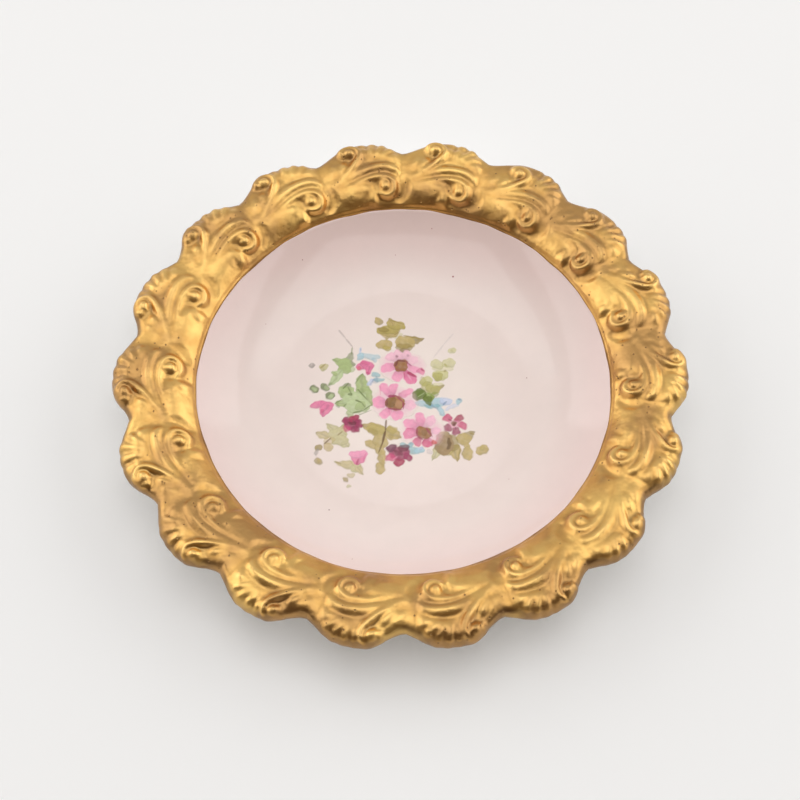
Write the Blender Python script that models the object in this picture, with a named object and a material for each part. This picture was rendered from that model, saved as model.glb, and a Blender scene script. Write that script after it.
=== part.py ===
# A lobed porcelain pin dish: white body with a foot ring, pink ground in the well,
# gilt border of moulded scroll leaves, and a spray of raised enamel flowers.
# Lengths are in metres, +Z is up, and the origin is on the table under the middle of the foot ring.

import math
from functools import lru_cache

import bmesh
import bpy
from mathutils import Matrix

# Flat floor, and the wall that curves up from it to the gilt line
FLOOR_RADIUS = 0.0260
WALL_WIDTH = 0.0199
WELL_DEPTH = 0.0074
FLOOR_THICKNESS = 0.0030
GROUND_THICKNESS = 0.0003

# Foot ring, under the start of the wall
FOOT_OFFSET = 0.0070
FOOT_HEIGHT = 0.0018
FOOT_TREAD = 0.0012
FOOT_FLARE = 0.0008
FOOT_ROUNDING = 0.0003

# Border: a flange that rises from the gilt line to its crest, arches over and turns down at its lobes
CREST_WIDTH = 0.0106
CREST_RISE = 0.0039
NOTCH_WIDTH = 0.0035
LOBE_REACH = 0.0035
FLANGE_THICKNESS = 0.0019
GILT_THICKNESS = 0.0009
RELIEF_HEIGHT = 0.0016
SCROLL_WIDTH = 0.0024

# Painted spray on the flat floor
ENAMEL_THICKNESS = 0.0002
SPRAY_MARGIN = 0.0015
STEM_WIDTH = 0.0004

# Gap between pieces that rest on each other
SEAT_GAP = 0.0003

# The lobes and the scrolls go round together
LOBE_COUNT = 18
FIRST_NOTCH_ANGLE = math.radians(10.4)
COLUMNS_PER_LOBE = 15
BODY_COLUMNS_PER_LOBE = 5
GROUND_COLUMNS = 60
BORDER_ROWS = 10
WALL_STEPS = 3
FLANGE_STEPS = 3
NOSE_STEPS = 2
NOSE_LAST_ANGLE = math.radians(125)
WELD_SHARE = 0.01
SHARE_DIGITS = 4
UNDER_WALL_SHARES = (0.88, 0.44, 0.0)

# How far a lobe's edge stands out, across its share of the turn: quick rise, broad top, hollow fall
LOBE_SHARES = (
    (0.00, 0.00), (0.10, 0.30), (0.20, 0.64), (0.30, 0.87), (0.42, 0.98), (0.54, 0.99),
    (0.66, 0.88), (0.76, 0.58), (0.86, 0.25), (0.94, 0.05), (1.00, 0.00),
)

# Ridges of one scroll leaf: share of the lobe's turn, share across the border, width share, height share
INNER_SCROLL_SHARES = (
    (1.10, 0.35, 0.50, 0.40), (0.90, 0.43, 0.60, 0.62), (0.70, 0.50, 0.75, 0.90),
    (0.52, 0.535, 0.80, 1.05), (0.36, 0.50, 0.80, 1.15), (0.23, 0.42, 0.80, 1.20),
    (0.15, 0.31, 0.80, 1.20), (0.17, 0.20, 0.80, 1.12), (0.28, 0.13, 0.75, 1.05),
    (0.42, 0.16, 0.70, 1.00), (0.47, 0.26, 0.65, 0.95), (0.37, 0.33, 0.60, 0.90),
)
OUTER_SCROLL_SHARES = (
    (1.08, 0.40, 0.40, 0.30), (0.92, 0.48, 0.50, 0.45), (0.78, 0.585, 0.60, 0.62),
    (0.65, 0.70, 0.65, 0.80), (0.55, 0.82, 0.65, 0.92), (0.59, 0.93, 0.62, 0.95),
    (0.71, 0.955, 0.60, 0.92), (0.78, 0.88, 0.55, 0.85), (0.71, 0.81, 0.50, 0.78),
)
UPPER_RIB_SHARES = (
    (0.06, 0.57, 0.50, 0.80), (0.20, 0.64, 0.60, 0.98), (0.38, 0.675, 0.60, 0.95),
    (0.56, 0.63, 0.50, 0.70), (0.74, 0.55, 0.40, 0.45),
)
LEAF_RIB_SHARES = (
    (0.55, 0.36, 0.50, 0.55), (0.70, 0.34, 0.55, 0.55), (0.88, 0.29, 0.45, 0.32), (1.02, 0.26, 0.35, 0.12),
)
BUD_SHARES = ((0.48, 0.10, 0.55, 0.32), (0.60, 0.13, 0.65, 0.36), (0.72, 0.17, 0.45, 0.22))

# Flutes of the shell between the two scrolls run from its root to these points on the lip
SHELL_ROOT_SHARE = (0.52, 0.62)
SHELL_TIP_SHARES = ((0.02, 0.80), (0.13, 0.90), (0.26, 0.98), (0.40, 1.02))
SHELL_START_SHARE = 0.45
SHELL_WIDTH_SHARES = (0.30, 0.62)
SHELL_HEIGHT_SHARES = (0.75, 1.00)

# The leaf's swelling: its left edge steps down over the leaf before it, and it thins to its tail
LEAF_EDGE_SHARES = ((0.0, 0.36), (0.12, 0.24), (0.29, 0.10), (0.45, 0.02), (0.62, -0.03), (1.1, 0.0))
LEAF_SWELL_SHARE = 0.62
LEAF_TAIL_SHARE = 0.25
LEAF_BOTTOM_SHARES = (0.06, 0.28)
COVE_SHARE = 0.06

# Flowers, buds and sprigs: name, (x, y) from the middle of the floor, half size, turn in degrees
DAISY_SHARES = (
    ("upper", (0.00, 0.37), 0.153, 8),
    ("middle", (-0.065, -0.03), 0.163, 25),
    ("lower", (0.19, -0.33), 0.153, 0),
)
BLOSSOM_SHARES = (
    ("left", (-0.46, -0.24), 0.070, 20),
    ("right", (0.48, -0.25), 0.082, 50),
    ("low", (-0.03, -0.56), 0.085, 10),
)
BUD_HEART_SHARES = (
    ("high", (-0.34, 0.34), 0.070, 200),
    ("left", (-0.74, -0.075), 0.078, 250),
    ("low", (-0.39, -0.585), 0.078, 150),
)
SPRIG_SHARES = (
    ("high", (-0.31, 0.475), 0.080, 25),
    ("middle", (-0.26, 0.20), 0.070, 300),
    ("right", (0.37, -0.085), 0.185, 8),
    ("low", (0.15, -0.555), 0.066, 340),
)
BERRY_SHARES = (
    ((-0.26, 0.85), 0.037), ((-0.84, 0.37), 0.035), ((-0.73, 0.345), 0.033), ((-0.82, 0.115), 0.033),
    ((-0.72, 0.14), 0.033), ((-0.655, 0.045), 0.028), ((-0.76, -0.50), 0.033), ((-0.70, -0.62), 0.037),
    ((-0.44, -0.80), 0.033), ((-0.415, -0.875), 0.028), ((0.465, 0.515), 0.033), ((0.73, -0.51), 0.037),
)

# Leaves: name, (x, y), half length, half width, turn in degrees, colour
LEAF_SHARES = (
    ("top", (-0.07, 0.77), 0.125, 0.065, 150, "olive"),
    ("crown", (0.02, 0.61), 0.165, 0.050, 8, "olive"),
    ("high_left", (-0.57, 0.33), 0.165, 0.070, 64, "green"),
    ("broad", (-0.44, 0.05), 0.185, 0.145, 75, "green"),
    ("high_right", (0.40, 0.32), 0.120, 0.075, 50, "lime"),
    ("right", (0.33, 0.115), 0.085, 0.050, 20, "lime"),
    ("small", (0.17, 0.03), 0.055, 0.035, 70, "green"),
    ("low_left", (-0.58, -0.39), 0.140, 0.090, 12, "olive"),
    ("middle", (-0.205, -0.35), 0.165, 0.100, 95, "olive"),
    ("foot", (-0.52, -0.72), 0.085, 0.045, 35, "olive"),
    ("low_right", (0.41, -0.45), 0.100, 0.062, 60, "brown"),
    ("outer_right", (0.595, -0.435), 0.095, 0.060, 62, "brown"),
)

# Stems: name, start, bend and end
STEM_SHARES = (
    ("left", (-0.60, 0.73), (-0.55, 0.63), (-0.46, 0.54)),
    ("middle", (-0.22, -0.55), (-0.20, -0.63), (-0.205, -0.72)),
    ("right", (0.46, 0.70), (0.40, 0.60), (0.33, 0.49)),
)

DAISY_PETALS = 8
BLOSSOM_PETALS = 5
POINTS_PER_PETAL = 3
PETAL_DEPTH_SHARE = 0.22
DAISY_CENTRE_SHARE = 0.34
LEAF_POINTS = 12
LEAF_TEETH_SHARE = 0.16
ROUND_POINTS = 8
CENTRE_POINTS = 10
SPRIG_WIDTH_SHARE = 0.30
SPRIG_WAVE_SHARE = 0.18
SPRIG_TIP_SHARE = 0.35
SPRIG_POINTS = 6
BUD_NOTCH_SHARE = 0.45
BUD_WIDTH_SHARE = 0.85
STEM_STEPS = 2
CURVE_STEPS = 5
RIDGE_PULL_SHARE = 0.42

COLOURS = {
    "porcelain": ((0.82, 0.81, 0.78), 0.18, 0.0),
    "gilt": ((0.69, 0.43, 0.12), 0.32, 1.0),
    "pink_ground": ((0.83, 0.66, 0.62), 0.15, 0.0),
    "rose": ((0.76, 0.19, 0.33), 0.30, 0.0),
    "maroon": ((0.33, 0.03, 0.08), 0.30, 0.0),
    "blue": ((0.30, 0.60, 0.74), 0.30, 0.0),
    "green": ((0.30, 0.43, 0.23), 0.30, 0.0),
    "lime": ((0.47, 0.52, 0.20), 0.30, 0.0),
    "olive": ((0.36, 0.33, 0.11), 0.30, 0.0),
    "brown": ((0.33, 0.27, 0.11), 0.30, 0.0),
}

# Sizes that follow from those above
LOBE_ANGLE = math.tau / LOBE_COUNT
WELL_RADIUS = FLOOR_RADIUS + WALL_WIDTH
CREST_RADIUS = WELL_RADIUS + CREST_WIDTH
NOTCH_RADIUS = CREST_RADIUS + NOTCH_WIDTH
BORDER_WIDTH = CREST_WIDTH + NOTCH_WIDTH + LOBE_REACH
FOOT_RADIUS = FLOOR_RADIUS + FOOT_OFFSET
FLOOR_TOP = FOOT_HEIGHT + FLOOR_THICKNESS
GILT_LINE_HEIGHT = FLOOR_TOP + WELL_DEPTH
WALL_CURVE = (WALL_WIDTH ** 2 + WELL_DEPTH ** 2) / (2 * WELL_DEPTH)
WALL_ANGLE = math.asin(WALL_WIDTH / WALL_CURVE)
WALL_STOP = WALL_ANGLE - SEAT_GAP / WALL_CURVE
BORDER_CURVE = (CREST_WIDTH ** 2 + CREST_RISE ** 2) / (2 * CREST_RISE)
BORDER_START_ANGLE = -math.asin(CREST_WIDTH / BORDER_CURVE)
BORDER_CENTRE_HEIGHT = GILT_LINE_HEIGHT + CREST_RISE - BORDER_CURVE
BODY_DEPTH = GILT_THICKNESS + SEAT_GAP
NOSE_RADIUS = BODY_DEPTH + FLANGE_THICKNESS / 2
CORE_CURVE = BORDER_CURVE - NOSE_RADIUS
GROUND_DEPTH = GROUND_THICKNESS + SEAT_GAP
SPRAY_REACH = FLOOR_RADIUS - SPRAY_MARGIN


def clear_scene():
    for item in list(bpy.data.objects):
        bpy.data.objects.remove(item, do_unlink=True)


def material(name):
    colour, roughness, metallic = COLOURS[name]
    made = bpy.data.materials.new(name)
    made.use_nodes = True
    shader = made.node_tree.nodes["Principled BSDF"]
    shader.inputs["Base Color"].default_value = (*colour, 1)
    shader.inputs["Roughness"].default_value = roughness
    shader.inputs["Metallic"].default_value = metallic
    made.diffuse_color = (*colour, 1)
    return made


def finish(name, bm, finish_name, smooth=True):
    """Turn the bmesh into a named object with its own material."""
    bmesh.ops.recalc_face_normals(bm, faces=bm.faces)
    mesh = bpy.data.meshes.new(name)
    bm.to_mesh(mesh)
    bm.free()
    if smooth:
        mesh.shade_smooth()
        mesh.set_sharp_from_angle(angle=math.radians(40))
    mesh.materials.append(material(finish_name))
    made = bpy.data.objects.new(name, mesh)
    bpy.context.collection.objects.link(made)


def mix(low, high, share):
    return low + (high - low) * share


def ease(share):
    share = min(max(share, 0.0), 1.0)
    return share * share * (3 - 2 * share)


def table_value(table, place):
    """Read a table of (place, value) pairs, with straight runs between them."""
    if place <= table[0][0]:
        return table[0][1]
    for (low, before), (high, after) in zip(table, table[1:]):
        if place <= high:
            return mix(before, after, (place - low) / (high - low))
    return table[-1][1]


def between(before, start, end, after, t):
    """Value at share t of the way from start to end, curving with the values before and after."""
    bend = 2 * before - 5 * start + 4 * end - after
    twist = 3 * start - before - 3 * end + after
    return start + (end - before) * t / 2 + bend * t ** 2 / 2 + twist * t ** 3 / 2


def smooth_curve(points, steps=CURVE_STEPS):
    """Points of any length along a curve that passes through each of the given ones."""
    first = tuple(2 * a - b for a, b in zip(points[0], points[1]))
    last = tuple(2 * a - b for a, b in zip(points[-1], points[-2]))
    chain = [first, *points, last]
    curve = []
    for before, start, end, after in zip(chain, chain[1:], chain[2:], chain[3:]):
        for step in range(steps):
            curve.append(tuple(map(between, before, start, end, after, [step / steps] * len(start))))
    curve.append(tuple(points[-1]))
    return curve


def lobe_share(angle):
    """Place of an angle inside its lobe: 0 at one notch, 1 at the next."""
    return round((angle - FIRST_NOTCH_ANGLE) / LOBE_ANGLE % 1, SHARE_DIGITS)


def rim_radius(angle):
    return NOTCH_RADIUS + LOBE_REACH * table_value(LOBE_SHARES, lobe_share(angle))


def nose_angle(rim):
    """Slope of the border's curve where the rounded edge of a lobe begins."""
    return math.asin((rim - NOSE_RADIUS - CREST_RADIUS) / CORE_CURVE)


def well_point(angle, depth=0.0):
    """A point on the well's wall, the given depth under the pink ground's face."""
    curve = WALL_CURVE + depth
    return FLOOR_RADIUS + curve * math.sin(angle), FLOOR_TOP + WALL_CURVE - curve * math.cos(angle)


def border_point(angle, depth=0.0):
    """A point on the border's arch, the given depth under the gilt face."""
    curve = BORDER_CURVE - depth
    return CREST_RADIUS + curve * math.sin(angle), BORDER_CENTRE_HEIGHT + curve * math.cos(angle)


def border_section(station, depth, rim):
    """Point of the border's section: stations 0 to 1 run along the arch, 1 to 2 round its edge."""
    end = nose_angle(rim)
    if station <= 1:
        return border_point(mix(BORDER_START_ANGLE, end, station), depth)
    turn = mix(end, NOSE_LAST_ANGLE, station - 1)
    radius, height = border_point(end, NOSE_RADIUS)
    reach = NOSE_RADIUS - depth
    return radius + reach * math.sin(turn), height + reach * math.cos(turn)


def turn_about_z(angle):
    return Matrix.Rotation(angle, 3, "Z")


def turned(outline, columns):
    """Spin an outline round the axis. Its points are (radius, height), or (station, depth, "border")
    for a place in the border's section, which the spun verts keep for follow_lobes."""
    bm = bmesh.new()
    station_layer = bm.verts.layers.float.new("station")
    depth_layer = bm.verts.layers.float.new("depth")
    verts = []
    for point in outline:
        if len(point) == 3:
            radius, height = border_section(point[0], point[1], NOTCH_RADIUS)
            vert = bm.verts.new((radius, 0, height))
            vert[station_layer] = point[0] + 1
            vert[depth_layer] = point[1]
        else:
            vert = bm.verts.new((point[0], 0, point[1]))
        verts.append(vert)
    edges = [bm.edges.new(pair) for pair in zip(verts, verts[1:])]
    bmesh.ops.spin(bm, geom=verts + edges, cent=(0, 0, 0), axis=(0, 0, 1), dvec=(0, 0, 0),
                   angle=math.tau, steps=columns, use_merge=True)
    bmesh.ops.remove_doubles(bm, verts=bm.verts, dist=SEAT_GAP * WELD_SHARE)
    bmesh.ops.rotate(bm, verts=bm.verts, cent=(0, 0, 0), matrix=turn_about_z(FIRST_NOTCH_ANGLE))
    return bm, station_layer, depth_layer


def follow_lobes(bm, station_layer, depth_layer, moulded=False):
    """Move the border's verts out to the lobes, and raise the scrolls on its face."""
    for vert in bm.verts:
        if vert[station_layer] < 1:
            continue
        station = vert[station_layer] - 1
        depth = vert[depth_layer]
        angle = math.atan2(vert.co.y, vert.co.x)
        rim = rim_radius(angle)
        radius, height = border_section(station, depth, rim)
        if moulded:
            turn = lobe_share(angle)
            across = round((min(radius, rim) - WELL_RADIUS) / BORDER_WIDTH, SHARE_DIGITS)
            if 0 < station < 1:
                drawn_turn, across = on_ridge(turn, across)
                angle += (drawn_turn - turn) * LOBE_ANGLE
                slope = math.asin((WELL_RADIUS + across * BORDER_WIDTH - CREST_RADIUS) / BORDER_CURVE)
                radius, height = border_point(slope, -scroll_relief(drawn_turn, across))
            else:
                fade = (2 - max(station, 1)) ** 2
                radius, height = border_section(station, -scroll_relief(turn, across) * fade, rim)
        vert.co = (radius * math.cos(angle), radius * math.sin(angle), height)


def plan(turn_share, across_share):
    """Place of a point of the scroll pattern, in metres, with its lobe's left notch on +X."""
    radius = WELL_RADIUS + BORDER_WIDTH * across_share
    angle = LOBE_ANGLE * turn_share
    return radius * math.cos(angle), radius * math.sin(angle)


@lru_cache(maxsize=None)
def ridge_path(rows):
    """A ridge's centre line in metres, with its half width and height."""
    places = [(*plan(turn, across), SCROLL_WIDTH / 2 * width, RELIEF_HEIGHT * height)
              for turn, across, width, height in rows]
    return smooth_curve(places)


def nearest_on_path(x, y, path):
    """Distance from (x, y) to a path, and the path's values at the nearest point."""
    nearest = (math.inf, path[0])
    for start, end in zip(path, path[1:]):
        run_x, run_y = end[0] - start[0], end[1] - start[1]
        length = run_x ** 2 + run_y ** 2
        t = min(max(((x - start[0]) * run_x + (y - start[1]) * run_y) / length, 0), 1)
        away = math.hypot(x - start[0] - run_x * t, y - start[1] - run_y * t)
        if away < nearest[0]:
            nearest = (away, tuple(mix(a, b, t) for a, b in zip(start, end)))
    return nearest


def ridge_height(x, y, rows):
    """Height of a rounded ridge over the place (x, y)."""
    away, (_, _, half_width, height) = nearest_on_path(x, y, ridge_path(rows))
    return height * math.sqrt(max(1 - (away / half_width) ** 2, 0))


@lru_cache(maxsize=None)
def on_ridge(turn_share, across_share):
    """Draw a place in the scroll pattern onto a ridge or leaf edge that passes close by."""
    best_away, best_place = RIDGE_PULL_SHARE * BORDER_WIDTH / BORDER_ROWS, (turn_share, across_share)
    for rows in [INNER_SCROLL_SHARES, OUTER_SCROLL_SHARES, UPPER_RIB_SHARES, *shell_rows()]:
        for lap in (0, 1):
            x, y = plan(turn_share + lap, across_share)
            away, (near_x, near_y, *_) = nearest_on_path(x, y, ridge_path(rows))
            if away < best_away:
                turn = math.atan2(near_y, near_x) / LOBE_ANGLE - lap
                across = (math.hypot(near_x, near_y) - WELL_RADIUS) / BORDER_WIDTH
                best_away, best_place = away, (turn, across)
    return best_place


def shell_rows():
    """One ridge for each flute of the shell, from its root towards the lip."""
    rows = []
    for tip in SHELL_TIP_SHARES:
        start = [mix(root, end, SHELL_START_SHARE) for root, end in zip(SHELL_ROOT_SHARE, tip)]
        rows.append(((*start, SHELL_WIDTH_SHARES[0], SHELL_HEIGHT_SHARES[0]),
                     (*tip, SHELL_WIDTH_SHARES[1], SHELL_HEIGHT_SHARES[1])))
    return rows


@lru_cache(maxsize=None)
def leaf_height(turn_share, across_share):
    """Height of one scroll leaf, or None to the left of its edge."""
    x, y = plan(turn_share, across_share)
    edge = turn_share - table_value(LEAF_EDGE_SHARES, across_share)
    if edge < 0:
        return None
    swell = LEAF_SWELL_SHARE * mix(1, LEAF_TAIL_SHARE, ease(turn_share))
    swell *= ease((across_share - LEAF_BOTTOM_SHARES[0]) / (LEAF_BOTTOM_SHARES[1] - LEAF_BOTTOM_SHARES[0]))
    ridges = [INNER_SCROLL_SHARES, OUTER_SCROLL_SHARES, UPPER_RIB_SHARES, LEAF_RIB_SHARES, BUD_SHARES]
    highest = max(ridge_height(x, y, rows) for rows in ridges + shell_rows())
    return max(RELIEF_HEIGHT * swell, highest)


@lru_cache(maxsize=None)
def scroll_relief(turn_share, across_share):
    """Height of the moulded border: each leaf lies over the tail of the leaf before it."""
    own = leaf_height(turn_share, across_share)
    tail = leaf_height(turn_share + 1, across_share)
    heights = [height for height in (own, tail) if height is not None]
    return max(heights, default=0.0) * ease(across_share / COVE_SHARE)


def make_porcelain_body():
    """White dish under its finishes: floor, wall, flange with lobes, and foot ring."""
    outline = [(0, FLOOR_TOP - GROUND_DEPTH)]
    outline += [well_point(WALL_STOP * step / WALL_STEPS, GROUND_DEPTH) for step in range(WALL_STEPS + 1)]
    outline += [(step / FLANGE_STEPS, BODY_DEPTH, "border") for step in range(FLANGE_STEPS + 1)]
    outline += [(1 + step / NOSE_STEPS, BODY_DEPTH, "border") for step in range(1, NOSE_STEPS + 1)]
    under = BODY_DEPTH + FLANGE_THICKNESS
    outline += [(1 - step / FLANGE_STEPS, under, "border") for step in range(FLANGE_STEPS)]
    tread_outer = FOOT_RADIUS + FOOT_TREAD / 2
    tread_inner = FOOT_RADIUS - FOOT_TREAD / 2
    foot_angle = math.asin((tread_outer + FOOT_FLARE - FLOOR_RADIUS) / (WALL_CURVE + FLOOR_THICKNESS))
    for share in UNDER_WALL_SHARES:
        outline.append(well_point(mix(foot_angle, WALL_ANGLE, share), FLOOR_THICKNESS))
    outline += [
        (tread_outer + FOOT_ROUNDING, FOOT_ROUNDING), (tread_outer, 0),
        (tread_inner, 0), (tread_inner - FOOT_ROUNDING, FOOT_ROUNDING),
        (tread_inner - FOOT_FLARE, FOOT_HEIGHT), (0, FOOT_HEIGHT),
    ]
    bm, stations, depths = turned(outline, LOBE_COUNT * BODY_COLUMNS_PER_LOBE)
    follow_lobes(bm, stations, depths)
    finish("porcelain_body", bm, "porcelain")


def make_pink_ground():
    """Coloured ground that lines the well up to the gilt line."""
    face = [well_point(WALL_STOP * step / WALL_STEPS) for step in range(WALL_STEPS + 1)]
    back = [well_point(WALL_STOP * step / WALL_STEPS, GROUND_THICKNESS) for step in range(WALL_STEPS + 1)]
    outline = [(0, FLOOR_TOP)] + face + back[::-1] + [(0, FLOOR_TOP - GROUND_THICKNESS)]
    bm = turned(outline, GROUND_COLUMNS)[0]
    finish("pink_ground", bm, "pink_ground")


def make_gilt_border():
    """Gilt shell of moulded scroll leaves over the flange, turned round the edge of the lobes."""
    face = [(row / BORDER_ROWS, 0, "border") for row in range(BORDER_ROWS + 1)]
    face += [(1 + step / NOSE_STEPS, 0, "border") for step in range(1, NOSE_STEPS + 1)]
    back = [(step / FLANGE_STEPS, GILT_THICKNESS, "border") for step in range(FLANGE_STEPS + 1)]
    back += [(1 + step / NOSE_STEPS, GILT_THICKNESS, "border") for step in range(1, NOSE_STEPS + 1)]
    bm, stations, depths = turned(face, LOBE_COUNT * COLUMNS_PER_LOBE)
    follow_lobes(bm, stations, depths, moulded=True)
    fold_along_ridges(bm)
    lining, stations, depths = turned(back, LOBE_COUNT * BODY_COLUMNS_PER_LOBE)
    follow_lobes(lining, stations, depths)
    carrier = bpy.data.meshes.new("gilt_lining")
    lining.to_mesh(carrier)
    lining.free()
    bm.from_mesh(carrier)
    bpy.data.meshes.remove(carrier)
    close_ring(bm, inner=True)
    close_ring(bm, inner=False)
    finish("gilt_border", bm, "gilt")


def fold_along_ridges(bm):
    """Split each quad along its higher diagonal, so that the ridges run on unbroken."""
    for face in list(bm.faces):
        first, second, third, fourth = face.verts
        if first.co.z + third.co.z > second.co.z + fourth.co.z:
            bmesh.ops.connect_verts(bm, verts=[first, third])
        else:
            bmesh.ops.connect_verts(bm, verts=[second, fourth])


def close_ring(bm, inner):
    """Bridge the open edges of face and lining, at the gilt line or under the lobes."""
    rim = [edge for edge in bm.edges if edge.is_boundary
           and (math.hypot(*edge.verts[0].co.xy) < CREST_RADIUS) == inner]
    bmesh.ops.bridge_loops(bm, edges=rim)


def plate(name, outline, finish_name, hole=None):
    """A thin plate of enamel with the given outline, resting on the pink ground."""
    bottom = FLOOR_TOP + SEAT_GAP
    bm = bmesh.new()
    edge = [bm.verts.new((x, y, bottom)) for x, y in outline]
    if hole:
        inner = [bm.verts.new((x, y, bottom)) for x, y in hole]
        loops = [bm.edges.new(pair) for ring in (edge, inner) for pair in zip(ring, ring[1:] + ring[:1])]
        flat = bmesh.ops.bridge_loops(bm, edges=loops)["faces"]
    else:
        flat = [bm.faces.new(edge)]
    raised = bmesh.ops.extrude_face_region(bm, geom=flat)["geom"]
    top = [item for item in raised if isinstance(item, bmesh.types.BMVert)]
    bmesh.ops.translate(bm, verts=top, vec=(0, 0, ENAMEL_THICKNESS))
    bmesh.ops.triangulate(bm, faces=bm.faces)
    finish(name, bm, finish_name, smooth=False)


def petal_outline(centre, radius, turn, petals, points_per_petal=POINTS_PER_PETAL):
    """A ring of rounded petals."""
    count = petals * points_per_petal
    outline = []
    for step in range(count):
        wave = abs(math.sin(math.pi * step / points_per_petal))
        reach = radius * mix(1 - PETAL_DEPTH_SHARE, 1, wave)
        angle = turn + math.tau * step / count
        outline.append((centre[0] + reach * math.cos(angle), centre[1] + reach * math.sin(angle)))
    return outline


def round_outline(centre, radius, points, turn=0.0):
    angles = [turn + math.tau * step / points for step in range(points)]
    return [(centre[0] + radius * math.cos(angle), centre[1] + radius * math.sin(angle)) for angle in angles]


def placed(points, centre, turn):
    """Turn an outline and move it to its place."""
    cos, sin = math.cos(turn), math.sin(turn)
    return [(centre[0] + x * cos - y * sin, centre[1] + x * sin + y * cos) for x, y in points]


def leaf_outline(half_length, half_width):
    """A pointed leaf with a toothed edge, its tip at +X."""
    points = []
    for step in range(LEAF_POINTS):
        angle = math.tau * step / LEAF_POINTS
        tooth = 1 - LEAF_TEETH_SHARE * (step % 2)
        side = math.sin(angle) * math.sqrt(abs(math.sin(angle)))
        points.append((half_length * math.cos(angle), half_width * side * tooth))
    return points


def heart_outline(radius):
    """A bud of two lobes, its point at +X."""
    points = []
    for step in range(CENTRE_POINTS):
        angle = math.tau * step / CENTRE_POINTS
        notch = ease(-math.cos(angle)) * (1 - abs(math.sin(angle))) * BUD_NOTCH_SHARE
        points.append((radius * (math.cos(angle) + notch), radius * math.sin(angle) * BUD_WIDTH_SHARE))
    return points


def strip_outline(line, half_widths):
    """The outline of a stroke along a line of points, with a half width at each."""
    left, right = [], []
    for number, ((x, y), half) in enumerate(zip(line, half_widths)):
        before = line[max(number - 1, 0)]
        after = line[min(number + 1, len(line) - 1)]
        run_x, run_y = after[0] - before[0], after[1] - before[1]
        length = math.hypot(run_x, run_y)
        left.append((x - run_y / length * half, y + run_x / length * half))
        right.append((x + run_y / length * half, y - run_x / length * half))
    return left + right[::-1]


def sprig_outline(half_length):
    """A waving brush stroke that swells and tapers."""
    line, half_widths = [], []
    for step in range(SPRIG_POINTS):
        share = step / (SPRIG_POINTS - 1)
        wave = SPRIG_WAVE_SHARE * math.sin(math.tau * share)
        swell = SPRIG_WIDTH_SHARE * mix(SPRIG_TIP_SHARE, 1, math.sin(math.pi * share))
        line.append((half_length * (2 * share - 1), half_length * wave))
        half_widths.append(half_length * swell)
    return strip_outline(line, half_widths)


def on_floor(place):
    return SPRAY_REACH * place[0], SPRAY_REACH * place[1]


def make_daisies():
    for name, place, size, turn in DAISY_SHARES:
        centre = on_floor(place)
        radius = SPRAY_REACH * size
        middle = radius * DAISY_CENTRE_SHARE
        petals = petal_outline(centre, radius, math.radians(turn), DAISY_PETALS)
        hole = round_outline(centre, middle + SEAT_GAP, len(petals), math.radians(turn))
        plate(f"daisy_{name}", petals, "rose", hole)
        plate(f"daisy_{name}_centre", round_outline(centre, middle, CENTRE_POINTS), "brown")


def make_small_flowers():
    for name, place, size, turn in BLOSSOM_SHARES:
        outline = petal_outline(on_floor(place), SPRAY_REACH * size, math.radians(turn), BLOSSOM_PETALS)
        plate(f"blossom_{name}", outline, "maroon")
    for name, place, size, turn in BUD_HEART_SHARES:
        outline = placed(heart_outline(SPRAY_REACH * size), on_floor(place), math.radians(turn))
        plate(f"bud_{name}", outline, "rose")
    for name, place, size, turn in SPRIG_SHARES:
        outline = placed(sprig_outline(SPRAY_REACH * size), on_floor(place), math.radians(turn))
        plate(f"sprig_{name}", outline, "blue")


def make_leaves():
    for name, place, length, width, turn, colour in LEAF_SHARES:
        outline = leaf_outline(SPRAY_REACH * length, SPRAY_REACH * width)
        plate(f"leaf_{name}", placed(outline, on_floor(place), math.radians(turn)), colour)


def make_berries_and_stems():
    for number, (place, size) in enumerate(BERRY_SHARES, start=1):
        plate(f"berry_{number}", round_outline(on_floor(place), SPRAY_REACH * size, ROUND_POINTS), "olive")
    for name, *places in STEM_SHARES:
        line = smooth_curve([on_floor(place) for place in places], STEM_STEPS)
        plate(f"stem_{name}", strip_outline(line, [STEM_WIDTH / 2] * len(line)), "olive")


clear_scene()
make_porcelain_body()
make_pink_ground()
make_gilt_border()
make_daisies()
make_small_flowers()
make_leaves()
make_berries_and_stems()
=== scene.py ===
import math

import bmesh
import bpy
import numpy as np
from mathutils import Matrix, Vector


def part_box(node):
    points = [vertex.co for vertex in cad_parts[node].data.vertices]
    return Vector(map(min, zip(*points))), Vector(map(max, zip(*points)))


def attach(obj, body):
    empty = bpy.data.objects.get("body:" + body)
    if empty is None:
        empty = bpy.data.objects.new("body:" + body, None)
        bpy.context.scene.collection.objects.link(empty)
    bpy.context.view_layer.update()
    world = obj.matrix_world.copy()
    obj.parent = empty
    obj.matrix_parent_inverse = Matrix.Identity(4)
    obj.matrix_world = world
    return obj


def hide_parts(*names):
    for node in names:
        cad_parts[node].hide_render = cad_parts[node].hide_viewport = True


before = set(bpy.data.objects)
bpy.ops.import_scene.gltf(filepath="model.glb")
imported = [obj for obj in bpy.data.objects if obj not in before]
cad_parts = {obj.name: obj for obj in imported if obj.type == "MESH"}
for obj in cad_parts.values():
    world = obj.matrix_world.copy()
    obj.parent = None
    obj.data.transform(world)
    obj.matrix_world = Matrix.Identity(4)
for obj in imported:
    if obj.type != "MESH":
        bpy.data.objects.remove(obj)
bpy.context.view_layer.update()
print("frame loaded:", len(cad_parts), "nodes")

# sizes shared by the pieces
pinkLow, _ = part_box("pink_ground")

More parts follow.
